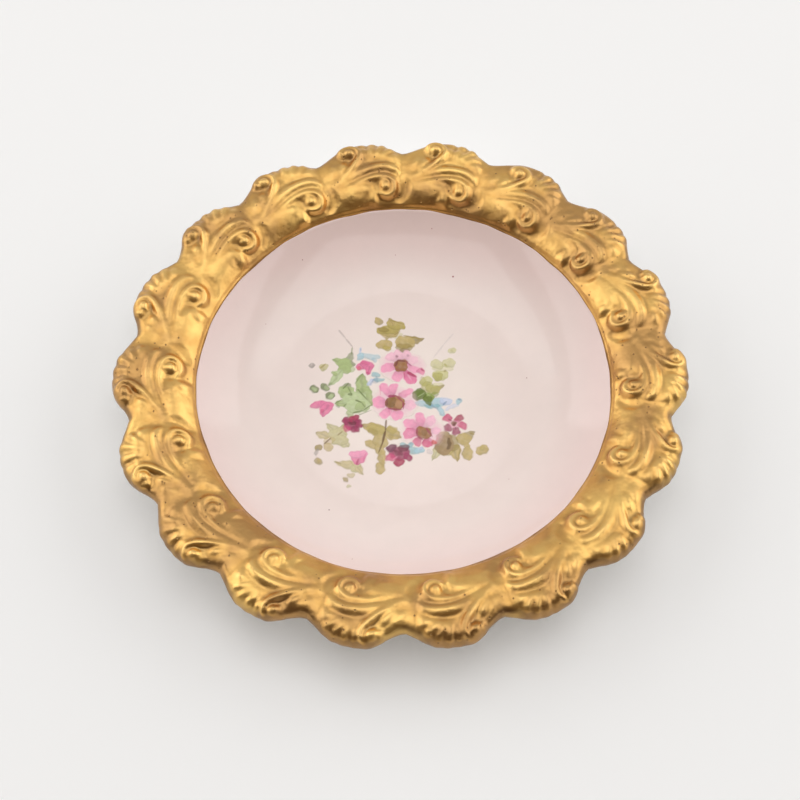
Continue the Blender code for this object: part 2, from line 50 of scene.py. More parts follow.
dish = {
    "floorRadius": 0.0260,     # flat part of the well
    "wellRadius": 0.0459,      # at the gilt line
    "wellDepth": 0.0074,       # from the floor to the gilt line
    "floorTop": pinkLow.z + 0.0003,
    "footHeight": 0.0018,
    "footRadius": 0.0330,
    "crestWidth": 0.0106,      # gilt line to the top of the arch
    "crestRise": 0.0039,
    "notchWidth": 0.0035,      # crest to the lip at a notch
    "noseRadius": 0.00215,     # of the rounded edge
    "wallThickness": 0.0030,
    "flangeThickness": 0.0034,
    "lobes": 18,
    "firstNotch": math.radians(10.4),      # from +X
    "lobeReach": 0.0035,
    # share of a lobe's turn, and how far the lip stands out there as a share of the reach
    "lobeShape": ((0.00, 0.00), (0.10, 0.30), (0.20, 0.64), (0.30, 0.87), (0.42, 0.98), (0.54, 0.99),
                  (0.66, 0.88), (0.76, 0.58), (0.86, 0.25), (0.94, 0.05), (1.00, 0.00)),
}

lobeTurn = math.tau / dish["lobes"]
wallWidth = dish["wellRadius"] - dish["floorRadius"]
wallCurve = (wallWidth ** 2 + dish["wellDepth"] ** 2) / (2 * dish["wellDepth"])
wallAngle = math.asin(wallWidth / wallCurve)
crestRadius = dish["wellRadius"] + dish["crestWidth"]
borderCurve = (dish["crestWidth"] ** 2 + dish["crestRise"] ** 2) / (2 * dish["crestRise"])
borderStart = -math.asin(dish["crestWidth"] / borderCurve)
borderCentre = dish["floorTop"] + dish["wellDepth"] + dish["crestRise"] - borderCurve
notchRadius = crestRadius + dish["notchWidth"]
borderWidth = dish["crestWidth"] + dish["notchWidth"] + dish["lobeReach"]
weldDistance = 1e-6


def metres(mm):
    return mm / 1000


def inMm(length):
    return length * 1000


def mix(low, high, share):
    return low + (high - low) * share


def ease(share):
    share = np.clip(share, 0, 1)
    return share * share * (3 - 2 * share)


def easeBetween(value, low, high):
    return ease((value - low) / (high - low))


def smoothCurve(points, steps=6):
    # a curve through every given point, of any number of values each
    points = np.asarray(points, float)
    chain = np.vstack([2 * points[0] - points[1], points, 2 * points[-1] - points[-2]])
    t = np.linspace(0, 1, steps, endpoint=False)[:, None]
    runs = []
    for a, b, c, d in zip(chain, chain[1:], chain[2:], chain[3:]):
        runs.append(0.5 * (2 * b + (c - a) * t + (2 * a - 5 * b + 4 * c - d) * t ** 2
                           + (3 * b - a - 3 * c + d) * t ** 3))
    return np.vstack([*runs, points[-1:]])


def nearestOnPath(x, y, path):
    # distance of many places from a path, and the path's further values there
    away = np.full(x.shape, np.inf)
    values = np.zeros(x.shape + (path.shape[1] - 2,))
    for start, end in zip(path, path[1:]):
        runX, runY = end[:2] - start[:2]
        length = runX ** 2 + runY ** 2
        if length == 0:
            continue
        t = np.clip(((x - start[0]) * runX + (y - start[1]) * runY) / length, 0, 1)
        gap = np.hypot(x - start[0] - runX * t, y - start[1] - runY * t)
        closer = gap < away
        away[closer] = gap[closer]
        values[closer] = start[2:] + t[closer, None] * (end[2:] - start[2:])
    return away, values


def toMesh(name, bm):
    mesh = bpy.data.meshes.new(name)
    bm.to_mesh(mesh)
    bm.free()
    return mesh


def addObject(name, data):
    made = bpy.data.objects.new(name, data)
    bpy.context.collection.objects.link(made)
    return made


def addPiece(name, bm, material, nodes):
    mesh = toMesh(name, bm)
    mesh.shade_smooth()
    mesh.materials.append(material)
    piece = addObject(name, mesh)
    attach(piece, "root")
    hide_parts(*nodes)
    print(name, "made:", len(mesh.polygons), "faces")


# nodes for the finishes
noiseSpan = (0.3, 0.7)     # nearly all of a noise lies between these


def newMaterial(name):
    material = bpy.data.materials.new(name)
    material.use_nodes = True
    return material, material.node_tree, material.node_tree.nodes["Principled BSDF"]


def feed(tree, socket, value):
    # another node's output, a colour or a number into a socket
    if isinstance(value, bpy.types.NodeSocket):
        tree.links.new(value, socket)
    else:
        socket.default_value = (*value, 1) if socket.type == "RGBA" else value


def addNode(tree, kind, *feeds, **values):
    # feeds go into the first sockets, values into the sockets or settings of that name
    node = tree.nodes.new("ShaderNode" + kind)
    for key, value in values.items():
        if key in node.inputs:
            feed(tree, node.inputs[key], value)
        else:
            setattr(node, key, value)
    for socket, value in zip(node.inputs, feeds):
        feed(tree, socket, value)
    return node


def coordinates(tree, kind="Object"):
    return addNode(tree, "TexCoord").outputs[kind]


def noise(tree, scale, detail, roughness):
    cloud = addNode(tree, "TexNoise", coordinates(tree), Scale=scale, Detail=detail, Roughness=roughness)
    return cloud.outputs["Fac"]


def mapRange(tree, source, low, high, newLow, newHigh):
    return addNode(tree, "MapRange", source, low, high, newLow, newHigh).outputs[0]


def cloudy(tree, settings, low, high):
    # a noise that runs from one value to another
    return mapRange(tree, noise(tree, *settings), *noiseSpan, low, high)


def measure(tree, operation, *places):
    return addNode(tree, "VectorMath", *places, operation=operation).outputs["Value"]


def calculate(tree, operation, *values):
    return addNode(tree, "Math", *values, operation=operation).outputs[0]


def mixColours(tree, share, first, second, blend="MIX"):
    node = addNode(tree, "Mix", share, data_type="RGBA", blend_type=blend)
    feed(tree, node.inputs[6], first)
    feed(tree, node.inputs[7], second)
    return node.outputs[2]


def colourRamp(tree, share, stops, colours):
    node = addNode(tree, "ValToRGB", share)
    ramp = node.color_ramp.elements
    for stop in stops[1:-1]:
        ramp.new(stop)
    for element, stop, colour in zip(ramp, stops, colours):
        element.position = stop
        element.color = (*colour, 1)
    return node.outputs["Color"]


def bump(tree, height, strength, distance, under=None):
    node = addNode(tree, "Bump", Height=height, Strength=strength, Distance=distance)
    if under:
        feed(tree, node.inputs["Normal"], under)
    return node.outputs["Normal"]


# the gilt border: eighteen scroll leaves, each laid over the tail of the one before
scrolls = {
    "columnsPerLobe": 67,    # of its mesh
    "rows": 72,              # across the arch
    "noseRows": 7,           # round the edge of the lobes
    "noseEnd": math.radians(125),
    "liningColumnsPerLobe": 12,
    "liningRows": 8,
    "filmDepth": 0.0009,     # of its underside, under the plain arch
    "tableTurns": 220,       # the pattern is worked out once, for one leaf
    "tableAcross": 170,
    "tableSpare": 2,         # mm past the widest lobe
    "softening": 15,         # rounds of smoothing, for the soft edges of a slip-cast mould
    "creaseSoftening": 60,   # and for the ground that the painted shade in creases and painted highlight on ridges are told from
    # rounded forms, in the order in which each melts into the rest: power of the rounding, mm of the melt
    "forms": (("shoulder", 1.1, 0.45), ("upperRib", 1.1, 0.45), ("lobes", 0.9, 0.45),
              ("outerScroll", 0.75, 0.225), ("innerScroll", 0.9, 0.225)),
    "leafMelt": 0.225,       # mm over which a leaf melts into the tail of the one before
    # each a run or more: degrees past the notch, mm from the gilt line, half width in mm, height in mm
    "shoulder": (
        ((2.0, 10.4, 1.80, 1.10), (3.2, 12.0, 2.80, 1.44), (5.2, 13.0, 3.40, 1.62),
         (7.4, 13.7, 3.20, 1.60), (9.6, 14.2, 2.20, 1.40)),
    ),
    "upperRib": (
        ((1.9, 7.4, 1.00, 1.04), (3.2, 8.5, 1.50, 1.42), (5.2, 9.3, 1.85, 1.64), (7.4, 9.6, 1.95, 1.62),
         (9.8, 9.5, 1.95, 1.42), (12.5, 8.9, 1.90, 1.10), (15.5, 8.0, 1.75, 0.84), (18.5, 7.1, 1.50, 0.64),
         (22.0, 6.3, 1.20, 0.46)),
    ),
    "lobes": (
        ((15.4, 10.6, 1.80, 1.12), (16.4, 9.3, 1.90, 1.05)),
        ((17.6, 11.1, 1.30, 0.72), (18.8, 9.9, 1.40, 0.66)),
        ((10.4, 2.5, 2.00, 1.14), (11.2, 2.7, 2.00, 1.12)),
        ((11.6, 4.9, 1.50, 1.18), (13.2, 5.0, 1.80, 1.10), (15.6, 4.9, 1.90, 0.84),
         (18.6, 4.7, 1.60, 0.54)),
        ((10.2, 3.4, 2.80, 1.10), (13.0, 4.0, 3.60, 1.08), (16.0, 4.4, 3.90, 0.98),
         (20.0, 4.8, 3.90, 0.70)),
    ),
    # the two curls, each with its eye
    "outerScroll": (
        ((22.0, 5.9, 0.80, 0.42), (19.3, 6.9, 0.85, 0.60), (16.8, 8.1, 0.92, 0.88), (14.7, 9.5, 1.04, 1.24),
         (12.8, 11.1, 1.12, 1.58), (11.4, 12.7, 1.14, 1.82), (11.1, 14.2, 1.12, 1.88),
         (12.0, 15.5, 1.08, 1.80), (13.6, 15.8, 1.04, 1.74), (15.0, 14.9, 0.96, 1.68),
         (14.7, 13.8, 0.76, 1.46)),
        ((12.9, 14.2, 1.50, 2.04), (13.4, 14.2, 1.50, 2.04)),
    ),
    "innerScroll": (
        ((21.0, 5.8, 0.80, 0.52), (17.0, 6.1, 0.95, 0.72), (13.4, 6.6, 1.05, 0.98), (10.8, 7.1, 1.15, 1.16),
         (8.5, 7.3, 1.22, 1.36), (6.4, 7.2, 1.28, 1.54), (4.7, 6.4, 1.32, 1.66), (4.0, 5.1, 1.32, 1.72),
         (4.6, 3.8, 1.28, 1.70), (6.2, 3.2, 1.18, 1.60), (7.8, 3.5, 0.98, 1.44), (8.8, 4.2, 0.70, 1.16)),
        ((6.7, 6.0, 1.40, 1.50), (6.3, 5.2, 1.80, 1.78), (6.7, 4.9, 1.70, 1.78)),
    ),
    # creases and pits in the same terms, with depths, and last the grooves that part the shell at the lip
    "creasePower": 1.5,
    "creases": (
        ((2.2, 6.7, 0.90, 0.10), (3.6, 7.9, 1.00, 0.14), (5.8, 8.5, 1.00, 0.12), (8.4, 8.4, 0.80, 0.12),
         (11.6, 7.8, 0.60, 0.15), (15.8, 6.7, 0.50, 0.15), (19.0, 6.1, 0.50, 0.10)),
        ((12.6, 6.7, 0.32, 0.06), (9.6, 6.5, 0.36, 0.20), (8.3, 5.6, 0.42, 0.24), (7.8, 4.6, 0.42, 0.24),
         (6.5, 4.05, 0.40, 0.20), (5.2, 4.5, 0.40, 0.18), (5.0, 5.6, 0.38, 0.14), (5.8, 6.1, 0.34, 0.06)),
        ((9.3, 5.7, 0.90, 0.26), (9.0, 4.9, 1.10, 0.46), (8.8, 4.5, 0.90, 0.40)),
        ((6.0, 0.9, 1.40, 0.22), (7.6, 1.2, 1.70, 0.38), (8.5, 2.0, 1.60, 0.42), (8.9, 3.1, 1.10, 0.34)),
        ((11.9, 3.4, 0.70, 0.22), (12.4, 2.6, 0.90, 0.18)),
        ((17.6, 8.8, 0.55, 0.12), (15.6, 10.0, 0.66, 0.26), (13.9, 11.7, 0.74, 0.36),
         (13.1, 12.7, 0.66, 0.34)),
        ((12.2, 13.1, 0.50, 0.24), (11.7, 14.2, 0.50, 0.26), (12.3, 15.1, 0.48, 0.24),
         (13.5, 15.3, 0.44, 0.16)),
        ((14.7, 13.1, 0.90, 0.34), (15.5, 13.3, 1.00, 0.36)),
        ((4.8, 10.8, 0.70, 0.06), (7.0, 10.9, 1.00, 0.22), (9.2, 10.8, 1.10, 0.30),
         (11.2, 10.4, 0.90, 0.14)),
        ((21.0, 6.4, 1.00, 0.20), (20.8, 5.0, 1.60, 0.44), (21.4, 3.6, 1.60, 0.52),
         (23.0, 2.2, 1.20, 0.35)),
        ((5.6, 11.8, 0.45, 0.12), (4.1, 12.6, 0.74, 0.44), (2.0, 13.6, 0.90, 0.60),
         (0.4, 14.6, 0.90, 0.60)),
        ((6.6, 12.5, 0.45, 0.12), (5.5, 13.8, 0.76, 0.48), (4.1, 15.3, 0.90, 0.60),
         (3.0, 16.6, 0.90, 0.60)),
        ((8.0, 12.9, 0.45, 0.12), (7.2, 14.4, 0.76, 0.48), (6.3, 16.3, 0.90, 0.60),
         (5.8, 17.6, 0.90, 0.60)),
        ((9.6, 12.8, 0.45, 0.12), (9.2, 14.4, 0.72, 0.44), (8.8, 16.6, 0.84, 0.56),
         (8.6, 18.2, 0.84, 0.56)),
    ),
    # left edge of the leaf, where it steps down over the one before: mm from the gilt line, degrees
    "leafEdge": (
        (0.0, 9.0), (1.2, 6.5), (2.4, 3.9), (4.0, 2.5), (6.0, 1.9), (8.5, 1.6), (11.0, 1.4), (13.0, 1.7),
        (15.0, 2.4), (19.5, 3.4),
    ),
    "edgeWidth": ((7.0, 1.3), (10.5, 2.5)),   # mm from the gilt line, mm
    "undercut": 0.6,         # mm that the edge of a leaf would run down, under the one before
    "swell": (0.98, 0.40),   # mm at the head of a leaf and along its tail
    "tailRun": (5, 18),      # degrees over which the one becomes the other
    "leafBottom": (0.9, 3.6),   # mm from the gilt line over which a leaf rises
    "valley": ((14.0, 17.0), (11.2, 14.2), 1.00),   # degrees, mm from the gilt line, depth
    "cove": -0.15,           # mm, where no leaf lies
    "farBelow": -9,          # mm, left of the edge of a leaf
    # near the lip the relief runs out: mm in from the lip, and what is left of it there
    "lipFade": (1.2, 0.84),
    # how far the leaves wander from even places: degrees and mm, waves a turn, and where they start
    "wander": ((1.8, 1, 0.60), (1.15, 2, 4.16), (0.3, 7, 1.1)),
    "sway": ((0.95, 1, 0.35), (0.16, 5, 2.6), (0.12, 11, 0.9)),
    # what of them is left at the gilt line and this far out, and where the sway starts
    "wanderShares": (1.0, 0.4),
    "swayShares": (0.7, 1.0),
    "wanderRun": 15,
    "swayStart": 3,
    # the gilding runs a little over the pink, by hand: mm, then mm, waves a turn, and where they start
    "overlap": 0.20,
    "brushLine": ((0.09, 5, 1.9), (0.07, 11, 0.4), (0.05, 23, 3.1), (0.03, 41, 2.2)),
    "filmEdge": 0.015,       # mm that its edge stands over the pink
    "liveliness": ((0.07, 4, 1.2), (0.06, 7, 4.0), (0.05, 13, 2.2)),   # share, waves a turn, start
    "lipShade": 0.62,         # painted shade: the gold is darker on the outside of the lip, as if in a crease so deep
    "lipShadeStations": (1.0, 1.5),   # from the end of the arch to halfway round the edge
    # the lip is out of round, as a hand-finished one is: mm, then mm, waves a turn, and where they start
    "lipShrink": 0.42,
    "lipSway": ((0.39, 1, 4.66), (0.40, 2, 0.23), (0.35, 3, 4.48)),
}


def planMm(degrees, out):
    radius = inMm(dish["wellRadius"]) + np.asarray(out)
    angle = np.radians(degrees)
    return radius * np.cos(angle), radius * np.sin(angle)


def ridge(x, y, rows, power):
    rows = np.asarray(rows, float)
    places = np.column_stack([*planMm(rows[:, 0], rows[:, 1]), rows[:, 2:]])
    away, values = nearestOnPath(x, y, smoothCurve(places))
    return values[:, 1] * np.clip(1 - (away / values[:, 0]) ** 2, 0, 1) ** power


def softMax(first, second, blend):
    share = np.clip(0.5 + 0.5 * (first - second) / blend, 0, 1)
    return mix(second, first, share) + blend * share * (1 - share)


def leafHeight(degrees, out):
    # height in mm of one scroll leaf over the plain arch, far below it left of the leaf's edge
    x, y = planMm(degrees, out)
    edge = np.interp(out, *zip(*scrolls["leafEdge"]))
    slope = np.interp(out, *zip(*scrolls["edgeWidth"]))
    inside = np.radians(degrees - edge) * (inMm(dish["wellRadius"]) + out) / slope
    swell = mix(*scrolls["swell"], easeBetween(degrees, *scrolls["tailRun"]))
    turns, outs, depth = scrolls["valley"]
    sunk = depth * (easeBetween(degrees, *turns) * easeBetween(out, *outs))
    height = swell * easeBetween(out, *scrolls["leafBottom"]) - sunk
    for form, power, blend in scrolls["forms"]:
        for rows in scrolls[form]:
            height = softMax(height, ridge(x, y, rows, power), blend)
    for rows in scrolls["creases"]:
        height = height - ridge(x, y, rows, scrolls["creasePower"])
    step = ease(inside * 0.5 + 0.5)
    stepped = height * step - scrolls["undercut"] * (1 - step)
    return np.where(inside > -1, stepped, scrolls["farBelow"])


def soften(table, rounds):
    for _ in range(rounds):
        table = (np.roll(table, 1, 1) + 2 * table + np.roll(table, -1, 1)) / 4
        framed = np.vstack([table[:1], table, table[-1:]])
        table = (framed[:-2] + 2 * table + framed[2:]) / 4
    return table


def reliefTable():
    # one leaf, with the tail of the one before it under its left edge
    pitch = math.degrees(lobeTurn)
    turns = np.linspace(0, 1, scrolls["tableTurns"], endpoint=False)
    outs = np.linspace(0, inMm(borderWidth) + scrolls["tableSpare"], scrolls["tableAcross"])
    turn, out = np.meshgrid(turns, outs)
    height = np.full(turn.size, scrolls["cove"])
    for shift in (-pitch, 0, pitch):
        leaf = leafHeight(turn.ravel() * pitch + shift, out.ravel())
        height = softMax(height, leaf, scrolls["leafMelt"])
    height = soften(height.reshape(turn.shape), scrolls["softening"])
    print("scroll pattern worked out:", round(float(height.max()), 2), "mm high")
    # the last table: how far each place sinks below or stands above the ground about it, for the gold's
    # painted shade and painted highlight
    return outs, height, height - soften(height, scrolls["creaseSoftening"])


def readTable(table, outs, turn, out):
    # a value at any place, from the table, which repeats round the border
    column = (turn % 1) * table.shape[1]
    row = np.clip(out, outs[0], outs[-1]) / outs[-1] * (len(outs) - 1)
    left, low = np.floor(column).astype(int), np.minimum(np.floor(row).astype(int), len(outs) - 2)
    across, up = column - left, row - low
    left = left % table.shape[1]
    right = (left + 1) % table.shape[1]
    return mix(mix(table[low, left], table[low, right], across),
               mix(table[low + 1, left], table[low + 1, right], across), up)


def waves(angle, terms):
    return sum(size * np.sin(count * angle + phase) for size, count, phase in terms)


def archPoint(angle, depth):
    # radius and height of a point under the plain arch
    return (crestRadius + (borderCurve - depth) * np.sin(angle),
            borderCentre + (borderCurve - depth) * np.cos(angle))


def noseAt(rim):
    # where the arch runs into the rounded edge, and the middle of that rounding
    end = np.arcsin((rim - dish["noseRadius"] - crestRadius) / (borderCurve - dish["noseRadius"]))
    return end, *archPoint(end, dish["noseRadius"])


def borderSection(station, depth, rim):
    # stations 0 to 1 run along the arch, 1 to 2 round the edge of the lobe
    end, noseX, noseZ = noseAt(rim)
    archX, archZ = archPoint(mix(borderStart, end, np.minimum(station, 1)), depth)
    turn = mix(end, scrolls["noseEnd"], np.clip(station - 1, 0, 1))
    reach = dish["noseRadius"] - depth
    onArch = station <= 1
    return (np.where(onArch, archX, noseX + reach * np.sin(turn)),
            np.where(onArch, archZ, noseZ + reach * np.cos(turn)))


def unrolledBand(columns, rows):
    # a flat band of squares, and for each vert its angle round the dish and its row
    bm = bmesh.new()
    bmesh.ops.create_grid(bm, x_segments=columns, y_segments=rows, size=0.5)
    share = np.array([vert.co.xy for vert in bm.verts]) + 0.5
    return bm, dish["firstNotch"] + math.tau * share[:, 0], np.round(share[:, 1] * rows)


def rollUp(bm, angle, radius, height):
    for vert, x, y, z in zip(bm.verts, radius * np.cos(angle), radius * np.sin(angle), height):
        vert.co = (x, y, z)
    seam = [vert for vert in bm.verts if vert.is_boundary]
    bmesh.ops.remove_doubles(bm, verts=seam, dist=weldDistance)


def lobesFromNotch(angle):
    # turns of a lobe, counted from the first notch
    return (angle - dish["firstNotch"]) / lobeTurn


def rimAt(angle):
    shape = smoothCurve(dish["lobeShape"])
    reach = dish["lobeReach"] * np.interp(lobesFromNotch(angle) % 1, shape[:, 0], shape[:, 1])
    return notchRadius + reach + metres(waves(angle, scrolls["lipSway"]) - scrolls["lipShrink"])


def borderFace():
    outs, heights, creases = reliefTable()
    rows = scrolls["rows"]
    bm, angle, row = unrolledBand(scrolls["columnsPerLobe"] * dish["lobes"], rows + scrolls["noseRows"])
    station = np.where(row <= rows, row / rows, 1 + (row - rows) / scrolls["noseRows"])
    rim = rimAt(angle)
    plainRadius, _ = borderSection(station, 0, rim)
    out = inMm(np.minimum(plainRadius, rim) - dish["wellRadius"])
    outward = np.clip(out / scrolls["wanderRun"], 0, 1)
    wander = np.radians(waves(angle, scrolls["wander"])) * mix(*scrolls["wanderShares"], outward)
    sway = waves(angle, scrolls["sway"]) * mix(*scrolls["swayShares"], outward)
    turn = lobesFromNotch(angle + wander)
    place = np.maximum(out + sway * ease(out / scrolls["swayStart"]), 0)
    reach, left = scrolls["lipFade"]
    inFromLip = inMm(rim - dish["wellRadius"]) - out
    # none at the gilt line, a little less near the lip, none under it
    fade = ease(out) * mix(left, 1, ease(inFromLip / reach)) * np.clip(2 - station, 0, 1)
    lively = fade * (1 + waves(angle, scrolls["liveliness"]))
    relief = metres(readTable(heights, outs, turn, place)) * lively
    # painted shade: darker gold round the outside of the lip
    lipShading = scrolls["lipShade"] * easeBetween(station, *scrolls["lipShadeStations"])
    # painted shade in the relief's hollows and painted highlight on its ridges, kept on the verts for the
    # gold
    shadeAndHighlight = readTable(creases, outs, turn, place) * fade - lipShading
    radius, height = borderSection(station, -relief, rim)
    over = metres(np.where(row == 0, scrolls["overlap"] + waves(angle, scrolls["brushLine"]), 0))
    height = height - over * math.tan(-borderStart) + np.where(row <= 1, metres(scrolls["filmEdge"]), 0)
    shadeAndHighlightLayer = bm.verts.layers.float.new("shadeAndHighlight")
    for vert, depth in zip(bm.verts, shadeAndHighlight):
        vert[shadeAndHighlightLayer] = depth
    rollUp(bm, angle, radius - over, height)
    return bm


def addLining(bm):
    # the underside of the film, joined to its face along both edges
    rows = scrolls["liningRows"]
    lining, angle, row = unrolledBand(scrolls["liningColumnsPerLobe"] * dish["lobes"], rows)
    rollUp(lining, angle, *borderSection(row * 2 / rows, scrolls["filmDepth"], rimAt(angle)))
    carrier = toMesh("borderLining", lining)
    bm.from_mesh(carrier)
    bpy.data.meshes.remove(carrier)
    for inner in (True, False):
        loops = [edge for edge in bm.edges if edge.is_boundary
                 and (math.hypot(*edge.verts[0].co.xy) < crestRadius) == inner]
        bmesh.ops.bridge_loops(bm, edges=loops)
    bmesh.ops.recalc_face_normals(bm, faces=bm.faces)


def makeBorder(material):
    bm = borderFace()
    addLining(bm)
    addPiece("giltBorder", bm, material, ["gilt_border"])


gilding = {
    "gold": (0.665, 0.378, 0.112),
    "worn": (0.33, 0.190, 0.078),       # painted shade: darker, browner gold in the hollows, and the colour of the pinholes
    # painted highlight on the ridges, as well as burnished gold
    "burnishedHighlight": (0.85, 0.54, 0.185),
    "tarnish": (0.49, 0.275, 0.100),    # duller patches
    "bright": (0.86, 0.56, 0.175),      # and thicker, yellower ones
    "creases": (-0.42, 0.34, 0, 1),     # mm below and above the ground about it, to the tone from 0 to 1: painted shade in hollows, painted highlight on ridges
    "stops": (0.28, 0.66, 1.0),         # tone of the painted shade, the plain gold, and the burnished gold with painted highlight
    "stir": 0.36,                       # how much the cloud adds to the tone
    # noises: scale, detail, roughness
    "cloud": (240, 4, 0.6),
    "patch": (90, 3, 0.55),
    "dents": (330, 2, 0.5),
    "grain": (750, 5, 0.65),
    # what the patches bring, from one value of the noise to another: how dull, thick or unpitted it is
    "dull": (0.48, 0.60, 0, 0.85),
    "thick": (0.47, 0.34, 0, 0.6),
    "unpitted": (0.46, 0.50, 1, 0),
    "pits": (560, 0.085, 1.7),          # how close the pinholes lie, their size in their cells, their rim
    "roughness": (0.35, 0.65, 0.44, 0.29),
    # bumps of the dents, the grain and the pinholes: strength, depth in m
    "bumps": ((0.6, 0.0004), (0.30, 0.00014), (0.8, 0.00012)),
}


def gildedFinish():
    material, tree, shader = newMaterial("burnishedGold")
    shadeAndHighlight = addNode(tree, "Attribute", attribute_name="shadeAndHighlight").outputs["Fac"]
    noises = ("cloud", "patch", "dents", "grain")
    cloud, patch, dents, grain = (noise(tree, *gilding[name]) for name in noises)
    # painted shade in the hollows, painted highlight on the ridges, from how far each place sinks or stands
    # out
    depth = mapRange(tree, shadeAndHighlight, *gilding["creases"])
    tone = calculate(tree, "MULTIPLY_ADD", cloud, gilding["stir"], depth)
    golds = [gilding[name] for name in ("worn", "gold", "burnishedHighlight")]
    colour = colourRamp(tree, tone, gilding["stops"], golds)
    colour = mixColours(tree, mapRange(tree, patch, *gilding["dull"]), colour, gilding["tarnish"])
    colour = mixColours(tree, mapRange(tree, patch, *gilding["thick"]), colour, gilding["bright"])
    closeness, size, rim = gilding["pits"]
    cells = addNode(tree, "TexVoronoi", coordinates(tree), Scale=closeness).outputs["Distance"]
    unpitted = mapRange(tree, patch, *gilding["unpitted"])
    whole = calculate(tree, "MAXIMUM", mapRange(tree, cells, size, size * rim, 0, 1), unpitted)
    feed(tree, shader.inputs["Base Color"], mixColours(tree, whole, gilding["worn"], colour))
    feed(tree, shader.inputs["Roughness"], mapRange(tree, cloud, *gilding["roughness"]))
    feed(tree, shader.inputs["Metallic"], 1)
    normal = None
    for height, (strength, distance) in zip((dents, grain, whole), gilding["bumps"]):
        normal = bump(tree, height, strength, distance, normal)
    feed(tree, shader.inputs["Normal"], normal)
    return material


# the pink ground and the white body
ground = {
    "columns": 240,
    "floorSteps": 8,
    "wallSteps": 24,
    "tuck": 1.01,            # how far up the wall it runs, just under the gilding
    "thickness": 0.0004,
}


def wellPoint(angle, depth=0.0):
    curve = wallCurve + depth
    return (dish["floorRadius"] + curve * math.sin(angle),
            dish["floorTop"] + wallCurve - curve * math.cos(angle))


def makeGround(material):
    angles = np.linspace(0, wallAngle * ground["tuck"], ground["wallSteps"] + 1)
    face = [wellPoint(angle) for angle in angles]
    back = [wellPoint(angle, ground["thickness"]) for angle in angles[::-1]]
    inside = [(dish["floorRadius"] * step / ground["floorSteps"], face[0][1])
              for step in range(ground["floorSteps"])]
    bm = bmesh.new()
    verts = [bm.verts.new((x, 0, z)) for x, z in [*inside, *face, *back, (0, back[-1][1])]]
    edges = [bm.edges.new(pair) for pair in zip(verts, verts[1:])]
    bmesh.ops.spin(bm, geom=verts + edges, cent=(0, 0, 0), axis=(0, 0, 1), dvec=(0, 0, 0),
                   angle=math.tau, steps=ground["columns"], use_merge=True)
    bmesh.ops.remove_doubles(bm, verts=bm.verts, dist=weldDistance)
    bmesh.ops.recalc_face_normals(bm, faces=bm.faces)
    addPiece("pinkGround", bm, material, ["pink_ground"])


def linear(colour):
    # a colour as seen on a screen, 0 to 255, to what the shader takes
    return tuple((value / 255) ** 2.2 for value in colour)


glaze = {
    # the ground from the middle outward, wiped paler under the spray: radius in m, colour
    "rings": (
        (0.013, (243, 230, 222)), (0.024, (239, 223, 217)), (0.034, (239, 223, 217)),
        (0.0452, (235, 212, 207)),
    ),
    "farShade": (0.024, 0.045, 0, 0.007),   # painted shade: toward the back the pink deepens: from, to, and how far in
    # noises: scale, detail, roughness
    "cloud": (38, 3, 0.55),
    "mottle": (150, 4, 0.6),
    "ripple": (70, 2, 0.5),
    "stray": 0.0022,         # m that the cloud moves the rings
    "mottleDepth": 0.035,
    "rippleBump": (0.35, 0.0004),   # slow unevenness of a fired glaze: strength, depth in m
    "roughness": 0.11,
    # specks of stray colour under the glaze: place in mm, radius in mm, colour
    "specks": (
        ((11.5, 31.3), 0.26, (150, 70, 80)), ((-23.4, 33.9), 0.16, (165, 110, 110)),
        ((27.8, 4.9), 0.16, (150, 95, 90)), ((-16.2, -28.0), 0.18, (120, 75, 80)),
        ((-10.9, -41.3), 0.13, (170, 120, 115)), ((-1.9, 36.6), 0.13, (180, 130, 130)),
        ((6.6, 42.0), 0.15, (185, 125, 125)), ((-31.5, 18.0), 0.12, (175, 125, 120)),
        ((23.0, -20.5), 0.11, (180, 135, 130)),
    ),
}


def groundColour(tree):
    # pale pink, washed in by hand
    split = addNode(tree, "SeparateXYZ", coordinates(tree))
    flat = addNode(tree, "CombineXYZ", split.outputs["X"], split.outputs["Y"]).outputs[0]
    stray = cloudy(tree, glaze["cloud"], -glaze["stray"], glaze["stray"])
    washed = calculate(tree, "ADD", measure(tree, "LENGTH", flat), stray)
    # painted shade: the back of the well takes the deeper pink of the gilt line
    washed = calculate(tree, "ADD", washed, mapRange(tree, split.outputs["Y"], *glaze["farShade"]))
    radii, colours = zip(*glaze["rings"])
    share = mapRange(tree, washed, radii[0], radii[-1], 0, 1)
    stops = [(radius - radii[0]) / (radii[-1] - radii[0]) for radius in radii]
    colour = colourRamp(tree, share, stops, [linear(colour) for colour in colours])
    mottle = cloudy(tree, glaze["mottle"], 1 - glaze["mottleDepth"], 1)
    colour = mixColours(tree, 1, colour, mottle, "MULTIPLY")
    for (x, y), size, speckColour in glaze["specks"]:
        away = measure(tree, "DISTANCE", flat, (metres(x), metres(y), 0))
        spot = mapRange(tree, away, metres(size), metres(size / 2), 0, 1)
        colour = mixColours(tree, spot, colour, linear(speckColour))
    return colour


def setGlossyGlaze(tree, shader, colour):
    feed(tree, shader.inputs["Base Color"], colour)
    feed(tree, shader.inputs["Roughness"], glaze["roughness"])
    feed(tree, shader.inputs["Normal"], bump(tree, noise(tree, *glaze["ripple"]), *glaze["rippleBump"]))


def pinkFinish():
    material, tree, shader = newMaterial("pinkGlaze")
    setGlossyGlaze(tree, shader, groundColour(tree))
    return material


